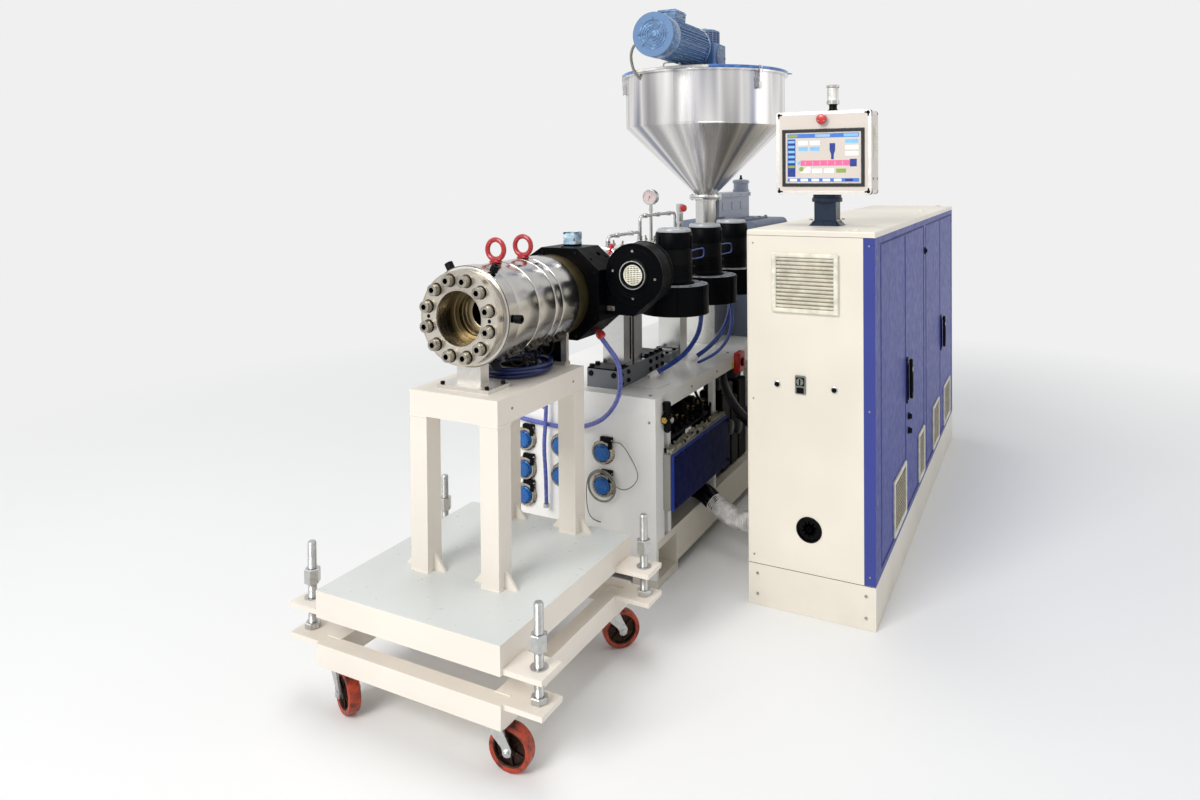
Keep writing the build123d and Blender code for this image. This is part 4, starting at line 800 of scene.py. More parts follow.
# Loose cables and small hoses: finish, diameter, how they lie, how stiff they are, and their points
looseCords = {
    "heaterLead1": ("cableBlack", 5, "hanging", "limp",
                    [(78, 154, 1003), (81, 164, 984), (82, 209, 972), (81, 254, 984), (78, 264.5, 1003)]),
    "heaterLead2": ("cableBlack", 5, "hanging", "limp",
                    [(78, 264.5, 1003), (81, 275, 984), (82, 301, 972), (81, 327, 984), (78, 337.5, 1003)]),
    "heaterLead3": ("cableBlack", 5, "hanging", "limp",
                    [(78, 337.5, 1003), (81, 348, 984), (82, 376, 972), (81, 405, 984), (78, 415.5, 1003)]),
    "fanLead1": ("cableBlue", 6, "hanging", "limp",
                 [(333, 1006, 1276), (340, 1040, 1284), (344, 1104, 1284), (343, 1140, 1284),
                  (343, 1140, 1248), (343, 1104, 1248), (338, 1040, 1248), (333, 1006, 1251)]),
    "fanLead2": ("cableBlue", 6, "hanging", "limp",
                 [(333, 1328, 1277), (340, 1362, 1283), (344, 1430, 1280), (343, 1468, 1276),
                  (343, 1468, 1239), (343, 1430, 1239), (338, 1362, 1238), (333, 1328, 1240)]),
    "farFanLead": ("cableBlue", 14, "hanging", "medium",
                   [(300, 1535, 1050), (320, 1520, 1000), (331, 1508, 940), (318, 1500, 856),
                    (276, 1494, 795), (222, 1490, 756), (172, 1488, 731)]),
    "stirrerConduit": ("cableGrey", 14, "hanging", "medium",
                       [(-96, 1600, 2214), (-150, 1612, 2222), (-205, 1628, 2213), (-231, 1640, 2172),
                        (-233, 1650, 2130), (-225, 1660, 2088), (-207, 1674, 2057), (-190, 1686, 2040)]),
    "airHose1": ("cableBlack", 12, "hanging", "medium",
                 [(236, 1290, 668), (240, 1300, 636), (246, 1340, 600), (248, 1352, 556),
                  (258, 1340, 512)]),
    "airHose2": ("cableBlack", 12, "hanging", "medium",
                 [(236, 1515, 668), (242, 1510, 630), (244, 1480, 590), (246, 1440, 552),
                  (257, 1412, 512)]),
    "cableBundle": ("cableBlack", 40, "hanging", "stiff",
                    [(200, 1720, 646), (232, 1640, 642), (280, 1540, 622), (350, 1430, 592),
                     (430, 1320, 576), (515, 1205, 572), (602, 1110, 574)]),
}


def heaterCablePoints():  # from a terminal box down into the coil, round in it, and back up
    points = [(57, 264, 994), (60, 262, 972), (72, 262, 951), (76, 276, 939)]
    for step in range(57):
        turn = step / 14
        radius = 76 - 15 * turn if turn < 2 else 46 + 12 * (turn - 2)
        height = 935 + 13 * min(max((turn - 1.8) / 0.4, 0), 1)
        angle = 2 * pi * turn
        points.append((radius * cos(angle), 298.7 + radius * sin(angle), height))
    return points + [(66, 324, 951), (60, 334, 964), (57, 338, 980), (57, 338, 994)]


def lanyardPoints():  # from the hook round the lowest cap's ring and down
    points = [(78, 834, 540), (104, 828, 554), (136, 823, 540), (160, 822, 508), (190, 822, 462),
              (198, 822, 428), (178, 818, 394), (142, 814, 374), (112, 813, 378)]
    for step in range(34):
        angle = radians(30 + step * 360 / 14)
        radius = 55 + 4.5 * step / 14
        points.append((38 + radius * cos(angle), 821 - 6 * max(0, 1 - step / 3), 371 + radius * sin(angle)))
    return points + [(-32, 822, 345), (-30, 823, 291), (-22, 824, 250), (0, 828, 228), (22, 842, 220)]


looseCords["heaterCable"] = ("cableBlack", 12, "coiled", "limp", heaterCablePoints())
looseCords["socketLanyard"] = ("cableGrey", 4, "hanging", "limp", lanyardPoints())
for name, (finishName, diameter, lay, stiffness, points) in looseCords.items():
    facts = {"points": points, "diameter": diameter}
    declareCord(cordCurve(name, points, diameter, finishName), facts)
print("stage: cords laid")

# Die: flange trims, socket screws, heater bands, lifting eyes
die = {
    "flangeRadius": 145, "screwCircle": 119, "screwRadius": 18, "screwLength": 24,
    "screws": 12, "ringRadius": 157, "ringMiddle": 68.5, "bandRadius": 152, "bands": (118, 97, 43, 107),
    "bandStart": 95, "seam": 3, "eyes": (194, 350), "lugTurn": -50,
}


def axial(y, z=1150):
    return facing("back", 0, y, z)


def buildDieTrims():
    edge = die["flangeRadius"]
    lathe([(edge - 4, -0.6), (edge + 0.4, 3.5), (edge + 0.4, 20), (edge - 1, 21.5), (edge - 1, 24.5),
           (edge + 0.4, 26), (edge + 0.4, 44)], axial(0), 96)
    lathe([(89, -0.6), (85.5, 2.4), (84.6, 5)], axial(0), 72)
    ring = die["ringRadius"]
    lathe([(edge + 0.8, 43.6), (ring - 4, 44.4), (ring + 0.4, 47.5), (ring + 0.4, 90), (ring - 4, 92.6)],
          axial(0), 96, 1)
    piece = finishPiece("flangeTrim", ["dieSteel", "bandSteel"])
    # lips and grooves inside the bore
    for low, high, outer, inner in ((85, 91.8, 85, 82), (107, 111, 70, 67)):
        lathe([(outer, low), (inner + 1, low), (inner, low + 1), (inner, high - 1), (inner + 1, high),
               (outer, high)], axial(0), 72, closed=True)
    lathe([(69.9, 126), (67, 129), (51, 130.5), (48.6, 132)], axial(0), 72)
    # matte black tube and disc closing the bore: painted shade of the deep hole
    lathe([(48.6, 132), (47.4, 135), (47.4, 187), (0, 187.5)], axial(0), 64, finish=1)
    finishPiece("boreLips", ["boreSteel", "darkInside"])
    return piece


def buildDieScrews():
    for step in range(die["screws"]):
        angle = radians(15 + 30 * step)
        x, z = die["screwCircle"] * cos(angle), 1150 + die["screwCircle"] * sin(angle)
        where = facing("front", x, 0, z)
        # the black socket recess and the thin black ring round each head are painted shade
        screw(where, die["screwRadius"] - 0.6, die["screwLength"], dark=1, steps=30)
        for groove in range(30):  # knurled sides
            turn = 2 * pi * groove / 30
            px, py = (die["screwRadius"] - 0.5) * cos(turn), (die["screwRadius"] - 0.5) * sin(turn)
            block((px - 0.7, py - 0.7, 3), (px + 0.7, py + 0.7, 19), 0.3, 0, where)
        # thin black ring round the head: painted shade
        lathe([(21, 0), (21, 0.8), (18, 1)], where, 24, 1)
    piece = finishPiece("flangeScrews", ["screwSteel", "blackSteel"], "die_screws")
    for step in range(6):
        where = radial(60 * step, die["ringMiddle"], 147)
        lathe([(8, 0), (8, 12)], where, 20)
        if step == 4:  # the one behind the post is screwed home
            screw(where @ shift(0, 0, 8), 11, 4, steps=28)
        else:
            screw(where @ shift(0, 0, 15), 13.5, 22, steps=28)
    for x in (-115, 115):
        lathe([(6.2, -0.4), (6.2, 0.4), (0, 0.4)], facing("front", x, 0, 1150), 20)
    finishPiece("centringScrews", ["blackSteel"])
    return piece


def buildBands():
    start, outer = die["bandStart"], die["bandRadius"]
    for length in die["bands"]:
        end = start + length
        profile = [(140.4, start), (outer - 3, start), (outer - 0.4, start + 1.2), (outer, start + 3),
                   (outer, end - 3), (outer - 0.4, end - 1.2), (outer - 3, end), (140.4, end)]
        lathe(profile, axial(0), 96)
        where = radial(die["lugTurn"], start + length / 2, outer - 1.5)
        reach = min(length - 24, 48) / 2
        spots = (-reach * 0.55, reach * 0.55) if length > 60 else (0,)
        for side in (-1, 1):  # clamping lugs and their screws
            block((-reach, side * 4, 0), (reach, side * 16, 15), 1.5, 1, where)
            for place in spots:
                head = where @ shift(place, side * 16, 8) @ Matrix.Rotation(-side * pi / 2, 4, "X")
                screw(head, 4.6, 6, finish=1, steps=14)
        for place in spots:
            tube([(place, -16, 8), (place, 16, 8)], 2.6, where, 8, 1)
        for turn, finish in ((-62, 2), (-70, 1)):  # heater terminals and their ceramic caps
            post = radial(turn, start + length * 0.5, outer - 1)
            lathe([(7, 0), (7, 3), (5, 4), (5, 13), (3.5, 15), (0, 15)], post, 14, finish)
        block((-length * 0.3, -9, -0.5), (length * 0.3, 9, 1.6), 0.6, 1,
              radial(-78, start + length / 2, outer))
        start = end + die["seam"]
    for y, turn in ((236, 66), (330, 64)):  # thermocouple slots, their black inner plate painted shade in the slot
        slot = radial(turn, y, outer - 1)
        plate(roundedOutline(26, 10, 4.5, 4), 1.8, slot, 0.4, 1)
        plate(roundedOutline(18, 5, 2.2, 4), 0.8, slot @ shift(0, 0, 1.6), 0, 2)
    return finishPiece("heaterBandCovers", ["bandSteel", "lugSteel", "blackPlastic"], "heater_bands")


def buildEyes():
    ringRadius, middle = 32, 1343.5
    for y in die["eyes"]:
        lathe([(20, 1302.6), (22, 1303.6), (22, 1306), (17.4, 1308), (13, 1311), (10, 1315), (0, 1316)],
              facing("up", 0, y, 0), 32)
        ring, radii = [], []
        for step in range(44):
            angle = 2 * pi * step / 44 - pi / 2
            ring.append((ringRadius * cos(angle), y, middle + ringRadius * sin(angle)))
            radii.append(8.2 + 1.4 * max(0, -sin(angle)) ** 3)
        tube(ring, radii, ground, 14, closed=True)
    return finishPiece("liftingEyeBolts", ["eyeRed"], "lifting_eyes", sharp=50)


# Stand under the die: post, cradle and their screws, and a black sheet on the cradle's front painted as the
# shade under the die
def buildDieSupports():
    addRows(screw, "up", (-84, 84), (26, 110), 938, 7, 8, steps=16)
    addRows(screw, "up", (-98, 98), 463, 938, 4.4, 5, steps=14)
    hollow = [(x, 212 - sqrt(154 ** 2 - x * x)) for x in (88, 60, 30, 0, -30, -60, -96)]
    plate([(-96, 0), (88, 0)] + hollow, 1.4, facing("front", 0, 446.9, 938.2), 0.3, 1)  # black sheet on its front: painted shade under the die
    return finishPiece("supportScrews", ["blackSteel", "black"])


buildDieTrims()
buildDieScrews()
buildBands()
buildEyes()
buildDieSupports()
print("stage: die dressed")

# Shroud, the wrapped box on it, and the blower
shroud = {
    "start": 540, "end": 693, "outline": ((189.7, 97), (101, 172), (-47, 172), (-165, 97), (-165, -80),
                                          (-76.3, -155), (101, -155), (189.7, -80)),
    "boxLow": (-3, 616, 1322), "boxHigh": (47, 670, 1372),
}
blower = {"x": 300, "z": 1232, "front": 590, "radius": 110, "inlet": 50, "grille": 33}


def buildShroud():
    outline = list(shroud["outline"])
    for y, side in ((shroud["start"], "front"), (shroud["end"], "back")):
        mirror = 1 if side == "front" else -1
        addRim([(x * mirror, z) for x, z in outline], 9, 2.4, facing(side, 0, y, 1150))
    for x, z in insetOutline(outline, 16):  # screws in the corners and along the sides
        screw(facing("front", x, shroud["start"], 1150 + z), 5, 4, 1, steps=14)
    for before, after in zip(outline, outline[1:] + outline[:1]):
        middleX, middleZ = (before[0] + after[0]) / 2, (before[1] + after[1]) / 2
        turn = degrees(atan2(after[0] - before[0], before[1] - after[1])) + 180
        for y in (shroud["start"] + 22, shroud["end"] - 16):
            screw(radial(turn, y, 0, middleX, 1150 + middleZ), 4.5, 3.5, 1, steps=14)
    for y in (632, 668):  # bright screws of the duct beside the blower
        screw(radial(49.8, y, 0, 176, 1150 + 108.6), 4, 4, 3, steps=14)
    # matte black disc on the duct: painted shade of a hole
    lathe([(9, 0), (9, 1), (0, 1)], radial(49.8, 640, 0, 132, 1150 + 145.8), 20, 2)
    finishPiece("shroudTrim", ["black", "blackSteel", "darkInside", "zinc"])

    # crumpled film round the junction box
    low, high = shroud["boxLow"], shroud["boxHigh"]
    block((low[0] - 1.5, low[1] - 1.5, low[2] + 2), (high[0] + 1.5, high[1] + 1.5, high[2] + 1.5), 5)
    bmesh.ops.subdivide_edges(bench, edges=bench.edges[:], cuts=5, use_grid_fill=True)
    for vertex in bench.verts:
        shift = noise.noise(vertex.co * 70) * 0.0034 + noise.noise(vertex.co * 170) * 0.0012
        vertex.co += Vector((shift, -shift, shift * 0.5))
    piece = finishPiece("junctionBoxFilm", ["boxFilm"], sharp=60)
    piece.modifiers.new("soften", "SUBSURF").render_levels = 1
    # red plug beside the blue hose
    plug = radial(-50, 636, 0, 128, 1150 - 132)
    lathe([(8, -2), (8, 10), (15, 11), (16, 14), (16, 30), (13, 33), (0, 33.5)], plug, 28)
    for step in range(10):
        block((14.6, -1.6, 14), (16.8, 1.6, 29), 0.6, 0, plug @ spin(36 * step))
    finishPiece("drainPlug", ["signalRed"])


def buildBlower():
    x, z, front = blower["x"], blower["z"], blower["front"]
    where = facing("front", x, front, z)  # local Z comes toward the viewer
    radius = blower["radius"]
    lathe([(radius - 7, 0.8), (radius - 5, 2.6), (radius - 1, 2.6), (radius + 0.8, 0.4),
           (radius + 0.8, -6), (radius - 0.4, -8)], where, 72)
    lathe([(radius + 0.4, -81), (radius + 2.4, -83), (radius + 2.4, -90), (radius - 3, -91)], where, 72)
    for reach, low, sweep in ((92, 20, 150), (72, 205, 120), (80, 196, 100)):  # pressed arcs on the face
        arc = [(reach * cos(radians(low + sweep * s / 20)), reach * sin(radians(low + sweep * s / 20)),
                0.4) for s in range(21)]
        tube(arc, 1.1, where, 6)
    lathe([(56, 0), (56, 3), (52, 4.5)], where, 48)
    plate([(-52, -104), (-14, -104), (-14, -76), (-52, -76)], 2, facing("front", x - 60, front, z), 0.6)
    finishPiece("blowerTrim", ["black"])

    # inlet ring and its slotted guard
    inlet, guard = blower["inlet"], blower["grille"]
    lathe([(inlet - 4, 3), (inlet - 4, 13), (inlet - 2.5, 14.4), (inlet, 14.4), (inlet + 0.8, 13),
           (inlet + 0.8, 0)], where, 56)
    lathe([(inlet - 3.8, 4), (guard + 3, 4.4)], where, 56, 5)
    lathe([(guard + 3, 4), (guard + 3, 9), (guard, 10), (guard - 2, 8)], where, 56, 1)
    # matte black disc behind the guard: painted shade inside the inlet
    lathe([(guard + 2, 4), (0, 4)], where, 40, 2)
    for row in range(-5, 6):
        height = row * 6.6
        half = sqrt(max(0, (guard - 2) ** 2 - height ** 2))
        if half > 8:
            block((-half, height - 2.1, 5), (half, height + 2.1, 8), 0.8, 1, where)
    for column in (-24, -12, 0, 12, 24):
        half = sqrt(max(0, (guard - 2) ** 2 - column ** 2))
        block((column - 1.6, -half, 4.6), (column + 1.6, half, 7.6), 0.6, 1, where)
    for turn in (93, 352, 268, 172):
        a = radians(turn)
        spot = facing("front", x + 83 * cos(a), front, z + 83 * sin(a))
        screw(spot, 4.6, 4, finish=3, steps=16)
    plate(roundedOutline(32, 17, 2, 3, (-92, -122)), 1.6, where, 0.3, 3)
    lathe([(9, 0), (9, 1.4), (0, 1.4)], where @ shift(-24, -126, -2), 24, 4)
    lathe([(5, 1.4), (5, 1.8), (0, 1.8)], where @ shift(-24, -126, -2), 20, 5)
    finishPiece("blowerInlet", ["zinc", "creamPlastic", "darkInside", "screwSteel", "signalYellow",
            "blackPlastic"])


buildShroud()
buildBlower()
print("stage: shroud and blower dressed")

# Barrel: cover seams, small fittings on top, cooling pipes, gauge and valve
barrelParts = {
    "start": 600, "end": 1890, "zones": 4, "gaugeY": 1368, "gaugeZ": 1480, "valveY": 1695,
}


def buildBarrel():
    length = (barrelParts["end"] - 60 - barrelParts["start"]) / barrelParts["zones"]
    for zone in range(barrelParts["zones"]):
        start = barrelParts["start"] + zone * length
        low, high = start + (100 if zone == 0 else 4), start + length - 4
        for y in (low, high - 9):  # rolled edge bands of each cover
            lathe([(139.5, y), (141.8, y + 1), (141.8, y + 8), (139.5, y + 9)], axial(0), 80)
        for turn in (128, 52):
            for y in (low + 34, high - 34):
                screw(radial(turn, y, 139.5), 4.5, 4, finish=1, steps=12)
        where = radial(160, (low + high) / 2, 139)
        for side in (-1, 1):  # hinge lugs along the hidden side
            for place in (-90, 0, 90):
                block((place - 14, side * 4, 0), (place + 14, side * 12, 10), 1.2, 1, where)
        lathe([(16, 0), (16, 5), (11, 7), (11, 14), (7, 16), (0, 16)],
              radial(38, (low + high) / 2 + 36, 138.5), 24, 1)
        for number, turn in enumerate((80, 100)):
            lathe([(6.5, 0), (6.5, 10), (4, 12), (4, 24), (0, 24)],
                  radial(turn, start + length * 0.42 + number * 24, 138.5), 14, 1)
    lathe([(96, 1836), (99, 1838), (99, 1850), (96, 1852)], axial(0), 60, 1)
    finishPiece("barrelCovers", ["coverSteel", "screwSteel"])

    # sensor, plug and bracket on top of the first zone
    place = radial(96, 758, 139)
    plate(polygonOutline(6, 22), 12, place, 1.5, 0)
    lathe([(8, 11), (8, 26), (6, 28), (6, 40), (3.2, 42), (0, 42)], place, 16)
    block((-13, -11, 0), (13, 11, 4), 1, 0, place)
    place = radial(84, 816, 139)
    plate(polygonOutline(6, 19), 9, place, 1.5, 0)
    lathe([(6, 9), (6, 17), (0, 17)], place, 14, 0)
    place = radial(70, 888, 139)
    lathe([(9, 0), (9, 3), (5, 4), (5, 14), (10, 16), (11, 26), (8, 30), (0, 31)], place, 20, 1)
    finishPiece("barrelSensors", ["fittingBrass", "signalRed"])


def union(place, side="back", reach=11, length=20):
    where = facing(side, *place) @ shift(0, 0, -length / 2)
    plate(polygonOutline(6, reach * 1.9), length * 0.42, where, 1)
    plate(polygonOutline(6, reach * 1.9, 0.3), length * 0.42, where @ shift(0, 0, length * 0.52), 1)
    lathe([(reach * 0.78, 0), (reach * 0.78, length)], where, 16)


def buildPipes():
    for y in (960, 1250, 1256, 1634):
        union((0, y, 1306), "up", 10.5, 20)
        lathe([(13, 0), (13, 3), (9, 5), (9, 12)], facing("up", 0, y, 1289), 18)
    for y, z in ((1040, 1332), (1170, 1332), (1310, 1400), (1440, 1400), (1560, 1400)):
        union((0, y, z), "back", 10.5, 24)
    finishPiece("pipeUnions", ["zinc"])

    # gauge: case, rim, dial, marks and needle
    y, z = barrelParts["gaugeY"], barrelParts["gaugeZ"]
    face = facing("front", 0, y - 14, z)
    lathe([(34.4, -26), (34.4, 0.2), (33, 1.8), (29.5, 1.8), (29, 0.4)], face, 48)
    plate(polygonOutline(6, 17), 14, facing("up", 0, y, z - 60), 1, 0)
    lathe([(5, 0), (5, 34)], facing("up", 0, y, z - 64), 16)
    lathe([(29.5, 0.5), (0, 0.5)], face, 48, 1)
    for step in range(21):
        a = radians(-135 + 270 * step / 20 + 90)
        reach = 25 if step % 5 else 22
        x1, y1, x2, y2 = reach * cos(a), reach * sin(a), 27.5 * cos(a), 27.5 * sin(a)
        tube([(x1, y1, 0.8), (x2, y2, 0.8)], 0.45 if step % 5 else 0.8, face, 4, 2)
    tube([(3, 6, 1.6), (-8, -18, 1.6)], [0.9, 0.4], face, 5, 2)
    lathe([(3, 0.6), (3, 2.6), (0, 2.8)], face, 16, 2)
    finishPiece("pipeGauge", ["zinc", "dial", "signalRed"])

    # valve: body, bonnet and the red knob at its side
    y = barrelParts["valveY"]
    up = facing("up", 0, y, 1404)
    lathe([(17.8, 0), (17.8, 31), (15, 35), (0, 35.6)], up, 28, 0)
    lathe([(9, 0), (9, 22), (15, 24), (17, 27), (17, 36), (13, 39), (0, 39.4)], spoke(-35, 0, y, 1419), 28, 1)
    plate(polygonOutline(6, 31), 12, facing("up", 0, y, 1390), 1.2, 0)
    for z in (1300, 1344):
        plate(polygonOutline(6, 32), 11, facing("up", 0, y, z), 1.2, 0)
    finishPiece("pipeValve", ["zinc", "signalRed"])


def buildSupports():
    # bolts of the clamp and the column
    for side, y in (("front", 905), ("back", 1340)):
        addRows(bolt, side, (-52, 52), y, 786, 19, 8)
    for side, x in (("right", 70), ("left", -70)):
        for y in (930, 990, 1200, 1262, 1318):
            screw(facing(side, x, y, 752), 9, 9, steps=18)
            screw(facing(side, x, y, 786), 9, 9, steps=18)
    addRows(bolt, "up", (-58, 58), (924, 972, 1192, 1240, 1290, 1326), 809, 20, 10, turn=0.4)
    finishPiece("supportBolts", ["blackSteel"])
    # dark top plate of the clamp, grey cheeks, and black strips in the column's grooves painted as their shade
    block((-69.4, 906, 804.6), (69.4, 998, 809), 1.2, 0)
    block((-69.4, 1172, 804.6), (69.4, 1339, 809), 1.2, 0)
    for x in (-70.4, 70.4):
        block((x - 1, 906, 731), (x + 1, 1339, 804), 0.8, 1)
    block((-69.4, 904, 731), (69.4, 906, 804), 0.8, 1)
    # black strips in the grooves: painted shade
    for side, x in (("right", 48), ("left", -48)):
        plate(roundedOutline(12, 176, 2, 3), 0.8, facing(side, x, 1060, 908), 0.3, 0)
    for y in (1420, 1500):
        block((-60, y, 729), (60, y + 46, 770), 3, 1)
        addRows(bolt, "up", (-40, 40), y + 23, 770, 16, 9)
    finishPiece("bearerPlates", ["black", "clampGrey"])


# Zone fans: motors with their rims, vents, lugs and small leads
fans = {"x": 297, "places": (946, 1268, 1590), "housing": 133, "bottom": 1050, "top": 1160, "motor": 70}


def buildFans():
    for y in fans["places"]:
        where = facing("up", fans["x"], y, 0)
        r, low, high = fans["housing"], fans["bottom"], fans["top"]
        lathe([(r - 3, low - 0.2), (r + 0.6, low + 2), (r + 0.6, low + 7), (r - 0.6, low + 8)], where, 72)
        lathe([(r - 0.6, high - 9), (r + 1.2, high - 8), (r + 1.2, high - 1), (r - 3, high + 0.6)], where, 72)
        for turn in (-60, -12, 36, 220, 268):
            block((-4, -54, 0), (4, 54, 5), 1.5, 0, spoke(turn, fans["x"], y, 1105, r - 2))
        for turn in range(0, 360, 45):
            a = radians(turn + 10)
            screw(facing("up", fans["x"] + 118 * cos(a), y + 118 * sin(a), high), 4, 3.4, steps=12)
        m = fans["motor"]
        lathe([(m + 9, high), (m + 9, high + 6), (m + 2, high + 9)], where, 48)
        for ring in range(7):  # ribs round the motor
            z = high + 26 + ring * 8
            lathe([(m - 0.4, z - 2), (m + 1.6, z - 1), (m + 1.6, z + 1), (m - 0.4, z + 2)], where, 48)
        lathe([(m - 0.3, 1296), (m + 2.2, 1298), (m + 2.2, 1352), (m - 3, 1360.5)], where, 56)
        for turn in (-58, 2, 62, 182, 242):  # clips down the motor's cap
            clip = spoke(turn, fans["x"], y, 1322, m + 1.5)
            block((-5, -26, 0), (5, 26, 3.4), 1, 0, clip)
    finishPiece("fanTrim", ["black"])

    # silver-grey caps with a slotted crown; the black under the crown is painted shade, and a grey ring on each
    # housing's top is painted sheen
    for y in fans["places"]:
        where = facing("up", fans["x"], y, 0)
        lathe([(66, 1360), (66.5, 1364), (63, 1372.6), (58, 1374.4), (50, 1374.4), (49, 1372.8)], where, 56)
        # matte black disc under the crown: painted shade
        lathe([(49, 1373.2), (0, 1373.4)], where, 48, 1)
        for ring in (12, 21, 30, 39):
            lathe([(ring - 2, 1373), (ring - 1.6, 1374.8), (ring + 1.6, 1374.8), (ring + 2, 1373)], where, 40)
        for spokeTurn in range(0, 180, 45):
            a = radians(spokeTurn)
            c, s = 48 * cos(a), 48 * sin(a)
            tube([(-c, -s, 1373.8), (c, s, 1373.8)], 1.1, where, 5)
        # grey ring on the black housing top: painted sheen
        lathe([(78, 1160.2), (129, 1160.4), (129, 1161.4), (78, 1162)], where, 64)
    finishPiece("fanCaps", ["fanGrey", "darkInside", "black"])

    # terminal boxes at the side of each motor
    for y in fans["places"]:
        box = spoke(62, fans["x"], y, 1206, fans["motor"] - 1)
        block((-22, -20, -1), (22, 20, 16), 3, 0, box)
        for x, z in ((-17, -15), (17, -15), (-17, 15), (17, 15)):
            screw(box @ shift(x, z, 16), 2.4, 1.6, 1, steps=10)
    finishPiece("fanTerminalBoxes", ["blackPlastic", "screwSteel"])


buildBarrel()
buildPipes()
buildSupports()
buildFans()
print("stage: barrel and fans dressed")

# Feed block, side feeder, gearbox and main motor
feed = {"hopperY": 2030}


def buildFeed():
    for side, x in (("right", 115), ("left", -115)):
        addRows(screw, side, x, (1920, 2130), (1040, 1270), 11, 9, steps=20)
    addRows(screw, "front", (-92, 92), 1890, (1034, 1276), 9, 8, steps=20)
    addRows(bolt, "up", (-96, 96), (1912, 2140), 1300, 20, 10)
    up = facing("up", 0, feed["hopperY"], 0)
    lathe([(52, 1300), (86, 1300), (86, 1312), (84, 1314), (52, 1314)], up, 48)
    lathe([(53, 1452), (82, 1452), (83, 1454), (83, 1462), (53, 1462.5)], up, 48)
    lathe([(53, 1463.5), (83, 1463.5), (83, 1472), (82, 1474), (53, 1474)], up, 48)
    for step in range(8):
        a = radians(22.5 + 45 * step)
        x, y = 70 * cos(a), feed["hopperY"] + 70 * sin(a)
        bolt(facing("up", x, y, 1314), 13, 7)
        bolt(facing("up", x, y, 1473), 12, 6)
        bolt(facing("down", x, y, 1452), 12, 6)
    finishPiece("feedBolts", ["stainless"])

    # side feeder: folded lid, cap, cable fittings
    block((-61, 2076, 1464), (61, 2566, 1478.5), 2.5)
    block((-63, 2074, 1456), (-60.5, 2568, 1477), 0.8)
    block((60.5, 2074, 1456), (63, 2568, 1477), 0.8)
    for y in (2110, 2240, 2400, 2530):
        screw(facing("right", 63, y, 1466), 3.4, 2.4, 1, steps=12)
        screw(facing("left", -63, y, 1466), 3.4, 2.4, 1, steps=12)
    for side, x in (("right", 55), ("left", -55)):
        for y in (2180, 2320, 2460):
            plate(roundedOutline(96, 46, 5, 4), 3, facing(side, x, y, 1408) @ shift(0, 0, -0.4), 0.8, 0)
    cap = facing("up", 0, 2581, 0)
    lathe([(42, 1476), (47, 1478), (47, 1490), (42.4, 1492)], cap, 40)
    lathe([(42.4, 1526), (48, 1528), (48, 1538), (43, 1545.4), (20, 1549), (0, 1549)], cap, 40)
    lathe([(9, 1548), (9, 1556), (6, 1558), (6, 1572), (0, 1573)], cap, 20, 2)
    finishPiece("feederTrim", ["feederGrey", "screwSteel", "blackPlastic"])
    for z in (1440, 1400):
        front = facing("front", -18, 2082, z)
        plate(polygonOutline(6, 22), 8, front, 1, 0)
        lathe([(8, 8), (8, 18), (6, 20), (0, 20)], front, 18)
    finishPiece("feederFittings", ["blackPlastic"])


